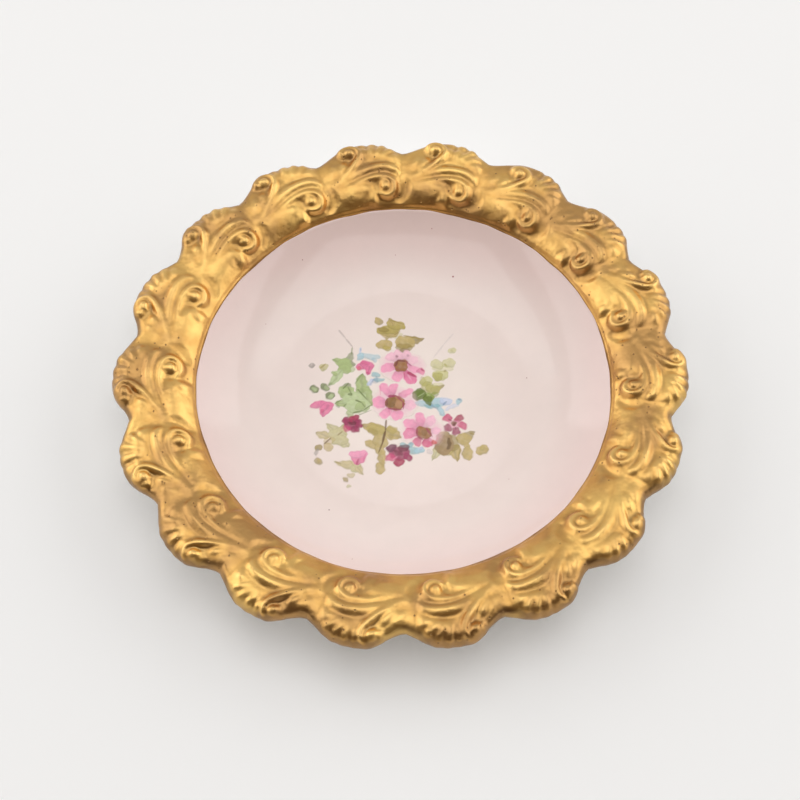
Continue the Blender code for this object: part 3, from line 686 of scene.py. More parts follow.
body = {
    "columnsPerLobe": 20,
    "floorRings": (0.0, 0.0130, 0.0260),
    # rings of the other stretches: from and to, as shares of the stretch, and how many
    "wallRings": (0.12, 0.95, 8),
    "archRings": (0, 1, 16),
    "noseRings": (0.1, 1, 13),
    "underArchRings": (0.94, 0, 15),
    "underWallRings": (0.94, 0.36, 12),
    "underTop": 0.0012,        # how far the porcelain lies under the gilt face
    "underLip": 0.00010,       # and at the edge of the gilding, under the lobes
    "bareFrom": (0.25, 0.65),  # shares of the nose over which the one becomes the other
    "thinned": (0.4, 1.0),     # shares of the arch over which the flange takes the thickness of the lip
    "footSpread": 0.0008,
    "footTread": 0.0012,
    "footRounding": 0.0003,
    "footSide": ((1.0, 1.08), (0.5, 0.80), (0.18, 0.5), (0.0, 0.26)),   # shares of spread and height
    "footTurns": (0.0, 0.5, 1.05, math.pi / 2),
    "recess": ((0.0300, 1.06), (0.0200, 1.0), (0.0100, 1.0), (0.0, 1.0)),   # radius, share of the foot
    "white": (246, 243, 238),
    "bare": (226, 218, 204),   # unglazed tread of the foot
    "bareRoughness": 0.75,
    "bareLine": (0.00022, 0.00034),   # height over the table where the glaze begins
    "ragged": 0.00012,         # m that the line wavers
    "grit": (900, 4, 0.7),     # noises: scale, detail, roughness
    "tint": (45, 3, 0.5),
    "warmth": (0.35, 0.65, 0.94, 1.0),   # of the glaze, from one value of the tint to another
}


def footOutline():
    # from the outer root of the foot round its tread to the recess: radius and height
    half, spread, rounding = body["footTread"] / 2, body["footSpread"], body["footRounding"]
    side = [(half + spread * across, dish["footHeight"] * up) for across, up in body["footSide"]]
    side += [(half - rounding * (1 - math.cos(turn)), rounding * (1 - math.sin(turn)))
             for turn in body["footTurns"]]
    outer = [(dish["footRadius"] + across, height) for across, height in side]
    return outer + [(dish["footRadius"] - across, height) for across, height in reversed(side)]


def evenRings(outline, rim):
    return [(np.full_like(rim, radius), np.full_like(rim, height)) for radius, height in outline]


def bodySection(rim):
    # rings from the middle of the well, over the flange and the lip, to the middle of the foot
    depth, lipDepth = body["underTop"], body["underLip"]
    outline = [(radius, dish["floorTop"] - depth) for radius in body["floorRings"]]
    outline += [wellPoint(wallAngle * share, depth) for share in np.linspace(*body["wallRings"])]
    rings = evenRings(outline, rim)
    for station in np.linspace(*body["archRings"]):
        rings.append(borderSection(np.full_like(rim, station), depth, rim))
    end, noseX, noseZ = noseAt(rim)
    for share in np.linspace(*body["noseRings"]):
        reach = dish["noseRadius"] - mix(depth, lipDepth, easeBetween(share, *body["bareFrom"]))
        turn = end + math.pi * share
        rings.append((noseX + reach * np.sin(turn), noseZ + reach * np.cos(turn)))
    lipThickness = 2 * dish["noseRadius"] - lipDepth
    for share in np.linspace(*body["underArchRings"]):
        thick = mix(dish["flangeThickness"], lipThickness, easeBetween(share, *body["thinned"]))
        rings.append(archPoint(mix(borderStart, end, share), thick))
    outline = []
    for share in np.linspace(*body["underWallRings"]):
        thick = mix(dish["wallThickness"], dish["flangeThickness"], ease(share))
        outline.append(wellPoint(wallAngle * share, thick))
    outline += footOutline()
    outline += [(radius, dish["footHeight"] * share) for radius, share in body["recess"]]
    return rings + evenRings(outline, rim)


def makeBody(material):
    rows = len(bodySection(np.array([notchRadius]))) - 1
    bm, angle, row = unrolledBand(body["columnsPerLobe"] * dish["lobes"], rows)
    rings = np.array(bodySection(rimAt(angle)))
    rollUp(bm, angle, *rings[row.astype(int), :, np.arange(len(angle))].T)
    bmesh.ops.recalc_face_normals(bm, faces=bm.faces)
    addPiece("glazedBody", bm, material, ["porcelain_body"])


def porcelainFinish():
    material, tree, shader = newMaterial("whiteGlaze")
    height = addNode(tree, "SeparateXYZ", coordinates(tree)).outputs["Z"]
    ragged = cloudy(tree, body["grit"], -body["ragged"], body["ragged"])
    glazed = mapRange(tree, calculate(tree, "ADD", height, ragged), *body["bareLine"], 0, 1)
    warmth = mapRange(tree, noise(tree, *body["tint"]), *body["warmth"])
    white = mixColours(tree, 1, linear(body["white"]), warmth, "MULTIPLY")
    setGlossyGlaze(tree, shader, mixColours(tree, glazed, linear(body["bare"]), white))
    roughness = mapRange(tree, glazed, 0, 1, body["bareRoughness"], glaze["roughness"])
    feed(tree, shader.inputs["Roughness"], roughness)
    return material


# the painted spray: brush strokes laid over each other, each motif a skin of enamel on the floor
enamels = {
    "rose": (240, 160, 190), "rosePale": (241, 188, 206), "roseDeep": (226, 125, 162),
    "crimson": (206, 78, 122), "ruby": (172, 55, 88), "eye": (158, 112, 66), "eyeTan": (190, 144, 106),
    "eyeOlive": (128, 98, 52), "maroon": (158, 58, 94), "maroonDark": (112, 48, 62),
    "plum": (124, 66, 88), "red": (214, 98, 92), "green": (172, 188, 130), "greenPale": (190, 204, 156),
    "greenDark": (128, 142, 92), "vein": (112, 126, 76), "moss": (142, 158, 78),
    "mossDark": (108, 124, 58), "lime": (206, 201, 148), "limeDark": (182, 176, 104),
    "limePale": (222, 214, 174), "olive": (186, 168, 98), "oliveDark": (158, 138, 76),
    "olivePale": (202, 193, 150), "tan": (192, 170, 112), "tanPale": (204, 188, 146),
    "brown": (160, 132, 92), "umber": (108, 80, 40), "blue": (172, 204, 215), "teal": (142, 188, 196),
    "lilac": (198, 208, 232), "blueDark": (118, 144, 172), "grey": (168, 158, 150),
    "stem": (196, 181, 176), "faint": (220, 206, 202),
}

spray = {
    "pitch": 0.125,          # mm between the points of the skins
    "reach": 24.0,
    "margin": 0.42,          # bare ground round each motif
    "thickness": 0.045,      # mm of enamel
    "edgeCover": 0.06,       # cover at which half of that thickness is reached
    "hem": 0.004,            # mm that its bare edge lies under the ground
    "skin": 0.03,            # mm from the face of a skin to its back
    # how the hand wavers: mm, then waves of size, radians a mm along x and along y, and start
    "wobble": 0.13,
    "wobbleX": ((1.0, 0.6, 1.7, 0.0), (0.6, -2.3, 4.1, 1.0)),
    "wobbleY": ((1.0, 1.9, -0.5, 2.0), (0.6, 3.7, 2.9, 0.0)),
    "streaks": ((1.0, 2.9, 1.3, 0.0), (1.0, 1.4, -2.6, 1.3)),
    "streakCover": (0.88, 1.0),
    "softness": {"petal": 0.42, "leaf": 0.38, "dab": 0.46, "dot": 0.42, "line": 0.24, "wash": 2.4},
    "pooling": {"petal": 0.05, "leaf": 0.16, "dab": 0.14, "dot": 0.12, "line": 0.0, "wash": 0.0},
    "pooled": (0.16, 0.14),  # mm in from a stroke's edge where colour pools, and how wide
    # half widths along a stroke, as powers and shares
    "bluntEnds": (2.3, 0.45),
    "petalRoot": (0.62, 1.3),
    "leafPowers": (0.8, 0.35, 2.0),
    "lineTail": 0.55,
    # tone over a stroke: petals from root to tip, leaves off and on the rib, dabs from side to side
    "petalTone": (0.80, 1.06, 1.4),
    "leafTone": (1.03, 0.22, 0.22),
    "dabTone": 0.10,
    "grain": (1400, 3, 0.6),   # scale, detail, roughness
    "grainTone": (0.93, 1.05),
}

# the motifs in the order of painting: node, slot, and strokes, in mm from the middle of the dish, each
# from x and y to x and y, with its width, its brush and colour, and its strength
motifs = (
    ("stem_left", "olive", (
        (-14.9, 17.5, -13.1, 15.0, 0.55, "line stem", 0.8),
        (-13.2, 15.1, -11.6, 12.9, 0.50, "line stem", 0.9),
    )),
    ("stem_right", "olive", (
        (11.4, 16.5, 9.0, 13.4, 0.50, "line faint", 0.7), (9.1, 13.5, 6.8, 10.2, 0.50, "line faint", 0.7),
    )),
    ("leaf_top", "olive", (
        (-2.4, 15.3, -0.2, 16.4, 1.2, "dab limePale", 0.7), (-4.2, 16.8, -3.9, 14.7, 1.8, "leaf tan", 0.9),
        (-5.6, 16.8, -1.0, 16.3, 2.1, "dab tan", 1.0), (-6.2, 17.2, -0.8, 17.8, 2.4, "dab olive", 1.0),
        (-4.0, 19.1, 0.4, 18.3, 2.5, "dab olive", 1.0), (-2.4, 18.8, -3.4, 20.5, 1.6, "leaf tan", 1.0),
        (-5.8, 17.9, -3.3, 17.1, 1.3, "dab oliveDark", 0.8),
        (-3.3, 20.2, 0.2, 18.9, 0.50, "line oliveDark", 0.7),
        (-2.2, 16.1, -0.8, 17.1, 0.45, "line oliveDark", 0.8),
    )),
    ("leaf_crown", "olive", (
        (-6.3, 13.3, -2.5, 13.8, 2.5, "dab tan", 1.0), (-4.7, 12.8, -2.7, 12.5, 1.3, "dab olive", 0.9),
        (1.0, 14.4, 4.8, 15.1, 2.0, "leaf oliveDark", 0.9), (-2.0, 14.2, 2.7, 14.2, 3.4, "dab tan", 1.0),
        (-1.7, 12.8, 1.9, 12.6, 2.5, "dab oliveDark", 0.7),
        (-0.1, 16.0, 4.6, 15.0, 0.50, "line oliveDark", 0.8),
        (-0.8, 12.4, 1.4, 11.9, 1.0, "dab eyeOlive", 0.5),
    )),
    ("leaf_high_left", "green", (
        (-11.7, 12.9, -11.9, 11.0, 0.42, "line greenDark", 0.7),
        (-12.7, 9.2, -11.7, 11.6, 1.7, "leaf greenDark", 0.7),
        (-12.4, 8.3, -16.2, 9.6, 2.6, "leaf green", 1.0),
        (-12.4, 8.6, -10.8, 8.5, 1.8, "leaf greenDark", 0.8),
        (-13.1, 6.7, -11.1, 7.7, 1.5, "dab greenPale", 0.8),
        (-15.1, 8.8, -11.7, 8.3, 2.9, "dab green", 1.0), (-14.8, 7.8, -12.1, 6.7, 2.6, "dab green", 1.0),
        (-14.0, 6.8, -16.8, 2.9, 2.3, "leaf greenPale", 1.0),
        (-16.2, 6.4, -14.9, 5.7, 0.9, "dab green", 0.9),
        (-16.9, 2.9, -16.0, 3.7, 0.8, "dab greenDark", 0.4),
    )),
    ("leaf_broad", "green", (
        (-9.4, 1.2, -9.4, 6.2, 3.1, "leaf green", 1.0),
        (-11.0, 3.4, -9.4, 6.0, 0.42, "line greenDark", 0.7),
        (-12.0, -1.3, -15.5, -1.7, 2.0, "leaf green", 1.0),
        (-13.0, 1.2, -12.6, 3.9, 2.4, "leaf greenDark", 0.8),
        (-14.8, 1.2, -11.0, 1.2, 3.3, "dab green", 1.0), (-9.7, 2.4, -7.1, -2.2, 3.4, "leaf green", 1.0),
        (-12.7, -3.5, -11.5, -5.0, 1.5, "dab green", 0.8),
        (-13.8, -0.4, -8.2, -0.2, 3.5, "dab greenPale", 1.0),
        (-13.2, -2.3, -7.5, -2.1, 3.8, "dab greenPale", 1.0),
        (-10.8, -2.0, -8.6, -2.4, 2.4, "dab green", 0.8), (-10.4, 2.1, -8.1, -0.8, 0.46, "line vein", 0.9),
        (-13.7, 2.1, -12.4, 3.6, 0.46, "line vein", 0.8),
        (-12.6, 2.7, -11.6, 0.5, 0.42, "line greenDark", 0.8),
        (-12.5, 0.7, -11.5, 0.7, 0.8, "dab vein", 0.8), (-10.9, -0.7, -9.3, -1.4, 0.50, "line vein", 0.9),
        (-9.4, -1.4, -8.6, -2.6, 0.40, "line greenDark", 0.8),
        (-11.4, -4.0, -8.9, -3.3, 0.46, "line vein", 0.8), (-9.0, -3.3, -7.2, -1.9, 0.40, "line vein", 0.8),
        (-10.9, -4.9, -7.1, -3.2, 0.34, "line greenDark", 0.6),
        (-15.3, -1.5, -13.7, -0.5, 0.42, "line greenDark", 0.9),
        (-15.2, -2.2, -14.4, -2.2, 0.7, "dab greenDark", 0.6),
        (-13.5, -2.5, -12.8, -1.6, 0.55, "line greenDark", 0.8),
    )),
    ("leaf_high_right", "lime", (
        (6.2, 7.4, 11.3, 7.3, 1.5, "dab limePale", 0.7), (6.0, 8.5, 9.1, 8.3, 2.5, "dab lime", 0.8),
        (8.7, 8.7, 11.8, 8.7, 2.5, "dab lime", 0.8), (9.2, 8.6, 9.8, 7.9, 0.60, "line limeDark", 0.8),
        (6.5, 5.6, 10.1, 5.5, 2.8, "dab lime", 1.0), (6.7, 5.5, 8.9, 5.1, 2.3, "dab limeDark", 0.9),
        (9.0, 6.6, 9.6, 6.6, 0.5, "dab oliveDark", 0.6),
    )),
    ("leaf_right", "lime", (
        (6.5, 3.3, 9.0, 2.7, 1.5, "dab limePale", 0.8), (3.8, 4.6, 6.3, 3.5, 2.7, "dab lime", 1.0),
        (4.0, 5.3, 4.7, 2.7, 1.4, "dab limeDark", 0.5), (5.6, 3.9, 4.9, 0.4, 2.7, "leaf limeDark", 0.7),
        (6.3, 1.3, 9.0, 2.9, 2.0, "leaf oliveDark", 0.7), (4.9, 2.2, 8.4, 1.8, 2.4, "dab limeDark", 0.8),
        (5.9, 0.7, 7.8, 0.8, 1.3, "dab moss", 0.6),
    )),
    ("leaf_low_left", "olive", (
        (-14.6, -8.7, -17.3, -6.8, 2.0, "leaf olivePale", 1.0),
        (-13.8, -9.0, -13.4, -6.9, 2.2, "leaf olivePale", 1.0),
        (-16.8, -10.1, -19.7, -8.7, 2.0, "leaf tanPale", 1.0),
        (-13.7, -11.0, -12.1, -12.6, 1.8, "leaf olivePale", 1.0),
        (-16.8, -9.5, -12.5, -9.2, 3.3, "dab olivePale", 1.0),
        (-16.0, -10.9, -12.3, -10.7, 2.7, "dab olivePale", 1.0),
        (-17.7, -11.0, -15.3, -10.6, 2.0, "dab tan", 0.5),
        (-17.8, -12.6, -15.5, -12.3, 2.2, "dab tan", 0.8),
        (-17.7, -11.8, -16.1, -10.2, 0.46, "line umber", 0.8),
        (-14.7, -9.6, -13.6, -8.6, 0.42, "line eyeOlive", 0.6),
    )),
    ("stem_middle", "olive", (
        (-5.1, -13.2, -4.6, -16.9, 1.8, "dab tan", 1.0), (-5.3, -16.2, -5.2, -19.1, 2.1, "dab tan", 1.0),
        (-4.9, -15.6, -4.5, -17.2, 0.8, "dab oliveDark", 0.3),
    )),
    ("leaf_middle", "olive", (
        (-4.4, -9.0, -9.3, -6.8, 3.2, "leaf tan", 1.0), (-4.2, -8.4, -0.4, -10.3, 3.2, "leaf tan", 1.0),
        (-3.8, -7.6, -1.5, -8.7, 1.9, "dab olive", 0.7), (-8.2, -7.9, -4.0, -8.7, 2.8, "dab olive", 0.8),
        (-8.6, -11.6, -5.4, -12.1, 2.0, "dab tan", 1.0), (-6.4, -9.6, -4.0, -12.6, 3.0, "dab tan", 1.0),
        (-5.9, -12.0, -4.8, -14.4, 2.3, "dab tan", 1.0), (-3.9, -5.7, -4.1, -8.9, 0.55, "line umber", 0.85),
        (-4.1, -8.5, -4.8, -11.9, 0.70, "line umber", 1.0),
        (-4.7, -11.4, -5.6, -14.0, 0.50, "line umber", 0.8),
        (-7.9, -8.3, -5.6, -8.9, 1.3, "dab oliveDark", 0.45),
        (-3.4, -9.6, -2.2, -10.0, 1.1, "dab oliveDark", 0.45),
    )),
    ("leaf_foot", "olive", (
        (-12.0, -17.1, -15.2, -16.1, 1.6, "leaf tanPale", 1.0),
        (-15.0, -16.2, -13.1, -16.9, 0.36, "line oliveDark", 0.6),
        (-13.8, -17.0, -9.9, -16.8, 2.1, "dab tanPale", 1.0),
        (-11.8, -17.8, -9.3, -17.6, 2.2, "dab olivePale", 1.0),
        (-10.1, -17.4, -9.0, -19.3, 1.8, "leaf tanPale", 1.0),
        (-12.5, -19.2, -10.8, -19.6, 1.2, "dab tanPale", 0.8),
    )),
    ("leaf_outer_right", "brown", (
        (13.3, -10.2, 15.9, -8.7, 2.2, "leaf oliveDark", 0.8),
        (11.7, -10.5, 15.0, -10.5, 3.0, "dab tan", 1.0), (13.3, -12.2, 14.7, -12.2, 1.8, "dab tan", 1.0),
        (13.7, -12.4, 14.4, -15.8, 2.3, "dab tan", 1.0),
        (14.6, -9.0, 15.7, -9.4, 0.60, "line oliveDark", 0.8),
    )),
    ("leaf_low_right", "brown", (
        (7.9, -12.4, 6.3, -15.8, 2.0, "leaf olivePale", 1.0),
        (11.0, -12.0, 11.8, -16.0, 2.8, "leaf tan", 1.0), (7.3, -13.5, 11.0, -13.8, 1.8, "dab olive", 0.8),
        (10.6, -9.3, 11.3, -13.6, 2.5, "dab oliveDark", 0.8),
        (9.0, -8.7, 8.9, -14.5, 4.2, "dab brown", 1.0), (8.0, -9.1, 9.8, -9.2, 1.2, "dab tanPale", 0.5),
        (10.1, -10.0, 9.9, -13.1, 0.95, "dab umber", 0.9),
        (12.5, -12.8, 12.0, -15.6, 0.42, "line oliveDark", 0.8),
        (7.0, -11.6, 7.4, -10.0, 0.60, "dab red", 0.4),
    )),
    *[(f"berry_{number}", "olive", strokes) for number, strokes in enumerate((
        ((-6.8, 19.9, -4.8, 19.7, 1.9, "dab tan", 1.0), (-5.6, 19.6, -4.8, 19.6, 1.5, "dab grey", 0.4)),
        ((-21.4, 8.2, -20.0, 8.2, 1.3, "dab grey", 0.9), (-20.9, 8.4, -20.5, 8.4, 0.6, "dab faint", 0.7)),
        ((-19.0, 7.7, -17.1, 7.8, 1.9, "dab olivePale", 1.0),
         (-18.9, 7.4, -17.7, 8.6, 0.60, "line oliveDark", 0.7)),
        ((-21.1, 2.8, -19.3, 1.4, 1.7, "dab vein", 0.9),
         (-20.7, 2.4, -19.7, 1.6, 1.0, "dab greenPale", 0.8)),
        ((-18.7, 3.2, -16.9, 1.8, 1.8, "dab vein", 0.9),
         (-17.9, 2.5, -17.0, 2.0, 1.1, "dab greenPale", 0.6)),
        ((-17.6, 0.6, -15.5, 0.3, 1.9, "dab vein", 0.9),
         (-16.9, 0.5, -15.8, 0.1, 1.2, "dab greenPale", 0.8)),
        ((-19.8, -12.6, -18.1, -12.8, 1.6, "dab oliveDark", 0.9),
         (-19.1, -13.0, -19.4, -14.8, 0.9, "leaf grey", 0.7)),
        ((-19.9, -16.1, -17.9, -16.0, 1.5, "dab oliveDark", 0.8),
         (-19.2, -16.0, -18.3, -16.0, 0.9, "dab tan", 0.8)),
        ((-13.3, -20.4, -12.0, -20.4, 1.2, "dab oliveDark", 0.8),),
        ((-12.6, -22.0, -11.5, -22.0, 0.8, "dab olivePale", 0.8),),
        ((10.2, 11.9, 12.0, 11.9, 1.6, "dab lime", 0.8),
         (10.8, 11.9, 11.4, 11.9, 0.8, "dab olivePale", 0.6)),
        ((15.9, -13.9, 18.8, -12.6, 2.3, "dab tan", 1.0),
         (16.9, -13.2, 18.0, -12.6, 1.2, "dab olive", 0.6)),
    ), 1)],
    ("sprig_high", "blue", (
        (-9.8, 12.9, -10.0, 10.6, 0.70, "line lilac", 0.8), (-9.7, 10.7, -5.2, 10.2, 1.5, "dab blue", 0.7),
        (-10.6, 10.8, -9.1, 10.2, 2.1, "dab blue", 0.9), (-7.2, 10.2, -6.2, 8.9, 1.0, "dab blue", 0.6),
        (-9.8, 12.6, -9.8, 11.8, 0.34, "line blueDark", 0.5),
    )),
    ("sprig_middle", "blue", (
        (-8.0, 2.8, -6.9, 4.6, 1.1, "dab lilac", 0.9), (-7.4, 5.6, -5.3, 5.9, 1.3, "dab teal", 0.8),
        (-7.0, 4.6, -4.5, 4.4, 1.0, "dab teal", 0.8), (-7.1, 3.8, -5.9, 4.5, 1.3, "dab blueDark", 0.4),
        (-6.3, 5.4, -5.8, 4.5, 0.40, "line blueDark", 0.5),
    )),
    ("sprig_right", "blue", (
        (9.2, -3.3, 12.4, -1.7, 1.1, "dab lilac", 0.6), (2.4, -1.4, 6.6, -2.0, 1.7, "dab blue", 0.8),
        (5.9, -0.8, 9.2, -1.7, 2.1, "dab blue", 0.9), (8.0, -0.6, 10.8, -1.5, 1.9, "dab lilac", 0.9),
        (7.6, -1.9, 8.8, -4.7, 1.4, "dab blue", 0.9), (4.5, -2.3, 8.2, -2.3, 1.1, "dab teal", 0.8),
        (5.8, -1.8, 7.7, -3.1, 0.55, "line blueDark", 0.6),
        (8.8, -2.0, 9.7, -1.0, 0.60, "line blueDark", 0.7), (11.7, -1.7, 13.0, -0.2, 1.0, "dab blue", 0.9),
        (12.2, -0.6, 12.9, -0.3, 0.6, "dab blueDark", 0.6),
    )),
    ("sprig_low", "blue", (
        (4.9, -13.6, 6.2, -13.5, 1.3, "dab faint", 0.8), (-1.0, -11.6, 0.7, -12.4, 1.3, "dab teal", 0.8),
        (0.5, -12.7, 2.1, -11.6, 1.1, "dab teal", 0.9), (0.7, -13.1, 3.0, -13.6, 1.8, "dab teal", 0.8),
        (2.2, -13.2, 4.5, -13.3, 1.6, "dab blue", 1.0), (3.2, -12.9, 4.3, -12.7, 0.8, "dab lilac", 0.9),
    )),
    ("leaf_small", "green", (
        (4.4, -0.3, 6.8, 0.1, 2.3, "dab moss", 1.0), (5.2, 0.2, 6.0, -2.1, 2.0, "leaf mossDark", 0.9),
        (3.2, 0.6, 3.9, 2.6, 1.9, "leaf mossDark", 0.9), (2.0, 0.3, 5.0, 0.9, 2.7, "dab mossDark", 1.0),
        (3.2, 0.1, 4.8, 1.2, 0.30, "line green", 0.8), (5.0, 1.1, 5.9, 0.2, 0.34, "line green", 0.8),
    )),
    ("bud_high", "rose", (
        (-10.7, 7.2, -7.8, 8.9, 2.0, "dab roseDeep", 1.0), (-9.8, 9.0, -6.8, 7.5, 2.1, "dab roseDeep", 1.0),
        (-7.5, 8.0, -8.4, 5.6, 1.8, "leaf roseDeep", 1.0), (-10.7, 7.0, -9.6, 7.6, 1.0, "dab red", 0.5),
        (-8.4, 6.6, -7.9, 6.1, 0.6, "dab crimson", 0.7), (-9.6, 8.8, -7.8, 8.6, 0.9, "dab crimson", 0.3),
    )),
    ("bud_left", "rose", (
        (-20.9, -2.0, -17.6, -1.9, 2.0, "dab roseDeep", 1.0),
        (-18.8, -1.6, -15.7, -2.3, 2.0, "dab roseDeep", 1.0),
        (-16.9, -1.7, -18.3, -4.9, 2.8, "leaf roseDeep", 1.0),
        (-18.5, -3.4, -17.6, -3.4, 0.9, "dab crimson", 0.6),
    )),
    ("bud_low", "rose", (
        (-9.9, -13.6, -10.2, -17.0, 3.8, "leaf roseDeep", 1.0),
        (-12.1, -14.4, -7.9, -14.2, 1.9, "dab rose", 1.0),
        (-8.3, -14.0, -9.0, -15.6, 0.42, "line roseDeep", 0.8),
        (-10.4, -16.8, -10.0, -15.4, 0.50, "line ruby", 0.6),
    )),
    ("blossom_left", "maroon", (
        (-12.0, -6.8, -11.0, -6.7, 2.8, "dot maroon", 1.0),
        (-12.9, -6.2, -12.6, -5.8, 1.7, "dot maroon", 1.0),
        (-11.3, -5.5, -10.9, -5.3, 1.8, "dot ruby", 1.0), (-10.1, -6.5, -9.9, -7.0, 1.7, "dot maroon", 1.0),
        (-11.1, -8.1, -10.7, -8.2, 1.7, "dot maroon", 1.0),
        (-12.8, -7.8, -12.6, -7.9, 1.5, "dot crimson", 0.8),
        (-11.7, -6.5, -10.9, -6.6, 0.9, "dot maroonDark", 0.8),
        (-12.6, -6.3, -11.8, -6.5, 0.5, "line maroonDark", 0.6),
        (-11.2, -5.6, -11.3, -6.3, 0.4, "line plum", 0.7),
        (-11.0, -8.0, -11.2, -7.2, 0.4, "line plum", 0.7),
    )),
    ("blossom_right", "maroon", (
        (9.9, -5.5, 9.6, -5.2, 1.8, "dot crimson", 0.9), (12.1, -5.5, 12.4, -5.2, 1.8, "dot ruby", 0.9),
        (12.9, -7.1, 13.4, -7.3, 1.7, "dot crimson", 0.9), (11.5, -8.3, 11.6, -8.7, 1.8, "dot maroon", 0.9),
        (9.9, -7.7, 9.6, -7.9, 1.7, "dot maroon", 0.9), (11.0, -6.7, 11.6, -6.7, 1.8, "dot rose", 0.7),
        (11.2, -6.6, 11.4, -6.6, 1.1, "dot eyeOlive", 0.9),
        (11.3, -6.7, 11.4, -6.7, 0.6, "dot maroonDark", 0.8),
        (10.7, -6.0, 9.9, -5.5, 0.4, "line maroonDark", 0.6),
        (11.5, -7.5, 11.6, -8.3, 0.4, "line maroonDark", 0.5),
    )),
    ("blossom_low", "maroon", (
        (-1.7, -14.1, -0.2, -14.1, 3.2, "dot maroon", 1.0),
        (-2.9, -12.9, -2.5, -12.7, 1.9, "dot plum", 1.0),
        (-0.3, -12.7, 0.3, -12.7, 1.8, "dot maroonDark", 0.8),
        (-3.2, -15.0, -2.7, -15.2, 1.8, "dot crimson", 0.9),
        (0.8, -14.9, 1.1, -15.1, 1.8, "dot maroon", 1.0), (-1.3, -16.2, -0.8, -16.3, 1.8, "dot ruby", 1.0),
        (-1.4, -13.9, -0.7, -13.9, 1.3, "dot maroonDark", 0.6),
        (-1.4, -14.8, -2.4, -15.6, 0.5, "line rose", 0.4),
        (-2.3, -13.2, -1.5, -13.8, 0.5, "line maroonDark", 0.6),
    )),
    ("daisy_upper", "rose", (
        (-1.9, 8.0, 1.4, 7.8, 6.4, "wash rosePale", 0.55),
        (0.2, 8.9, 3.2, 10.1, 2.4, "petal rosePale", 0.6),
        (-0.2, 9.2, 1.2, 12.0, 2.3, "petal rosePale", 0.9),
        (-0.9, 9.4, -1.5, 12.2, 2.2, "petal rosePale", 0.9),
        (-1.3, 9.0, -3.9, 11.2, 2.2, "petal rosePale", 0.9), (-1.4, 8.1, -5.2, 7.2, 2.6, "petal rose", 1.0),
        (-1.1, 7.3, -1.5, 3.9, 2.7, "petal rose", 1.0), (0.4, 8.4, 3.6, 6.4, 2.0, "petal rose", 0.9),
        (-0.2, 7.2, 2.6, 3.4, 2.6, "petal roseDeep", 1.0), (2.9, 6.4, 4.9, 6.8, 1.8, "petal roseDeep", 0.8),
        (0.8, 6.4, 3.0, 5.1, 0.90, "line ruby", 0.8), (0.1, 6.4, 0.2, 5.0, 0.40, "line crimson", 0.6),
        (0.9, 5.8, 1.8, 4.2, 0.42, "line rosePale", 0.6), (3.9, 7.3, 4.7, 6.6, 0.60, "line ruby", 0.7),
        (-2.2, 8.2, 1.0, 8.0, 3.3, "dab eye", 1.0), (-2.0, 7.9, -1.3, 9.5, 0.80, "line maroonDark", 0.7),
        (-1.4, 9.5, 0.6, 9.2, 0.70, "line maroonDark", 0.7), (0.5, 9.2, 1.8, 8.0, 0.46, "line maroon", 0.7),
        (-1.9, 7.4, -0.2, 6.4, 0.40, "line maroon", 0.4),
        (-2.0, 10.5, -1.3, 10.5, 0.7, "dab maroonDark", 0.6),
        (0.6, 10.6, 1.3, 10.6, 0.6, "dab maroonDark", 0.35),
    )),
    ("daisy_middle", "rose", (
        (-3.2, -1.3, -0.8, -1.3, 7.0, "wash rosePale", 0.6),
        (-0.6, -1.7, 2.6, -2.2, 2.7, "petal rosePale", 0.9), (-2.3, 0.4, -2.3, 3.6, 2.1, "petal rose", 1.0),
        (-3.0, 0.0, -5.0, 3.4, 2.4, "petal rose", 1.0), (-3.4, -1.2, -7.0, -1.5, 3.3, "petal rose", 1.0),
        (-3.0, -2.2, -4.7, -5.3, 2.6, "petal rose", 1.0), (-1.7, -2.4, -1.3, -5.7, 2.9, "petal rose", 1.0),
        (-1.3, 0.0, 2.0, 1.8, 2.0, "petal rose", 0.9), (-3.4, -3.0, -3.0, -4.6, 0.34, "line roseDeep", 0.6),
        (-5.3, 3.0, -5.2, 0.4, 0.34, "line roseDeep", 0.5),
        (0.0, 0.4, 1.7, 1.0, 0.40, "line roseDeep", 0.4), (-4.1, -1.4, 0.2, -1.6, 3.7, "dab eye", 1.0),
        (-3.7, -1.4, -1.7, -1.4, 2.6, "dab eyeOlive", 0.7),
        (-1.9, -1.7, -0.2, -1.8, 2.1, "dab eyeTan", 0.8),
        (-3.9, -2.4, -3.7, -0.2, 0.70, "line maroonDark", 0.6),
        (-3.5, 0.2, -1.6, 0.4, 0.90, "line maroon", 0.9), (-1.7, 0.4, -0.1, -1.3, 0.46, "line maroon", 0.8),
        (-0.1, -1.3, -0.1, -3.1, 0.50, "line maroon", 0.8),
        (-3.6, -2.9, -0.2, -3.2, 0.46, "line maroon", 0.8),
    )),
    ("daisy_lower", "rose", (
        (3.0, -8.4, 5.6, -8.8, 6.2, "wash rosePale", 0.6),
        (5.4, -8.8, 8.2, -8.2, 1.9, "petal rosePale", 1.0),
        (4.4, -7.9, 6.8, -4.9, 2.5, "petal rosePale", 1.0), (3.8, -7.6, 3.5, -3.9, 2.5, "petal rose", 1.0),
        (3.3, -7.9, 0.2, -6.0, 2.7, "petal rose", 1.0), (3.3, -9.0, -0.1, -9.1, 3.0, "petal roseDeep", 0.9),
        (3.4, -9.9, 2.9, -12.2, 2.1, "petal crimson", 0.8),
        (4.8, -10.2, 5.7, -12.5, 2.7, "petal crimson", 0.9), (6.1, -10.8, 7.2, -11.6, 0.9, "dab red", 0.9),
        (0.3, -8.0, 2.2, -7.8, 0.34, "line crimson", 0.5), (0.6, -8.9, 2.2, -9.3, 1.3, "dab rose", 0.6),
        (2.8, -8.2, 6.1, -9.7, 3.1, "dab eye", 1.0), (3.9, -8.6, 5.3, -9.2, 1.6, "dab eyeOlive", 0.5),
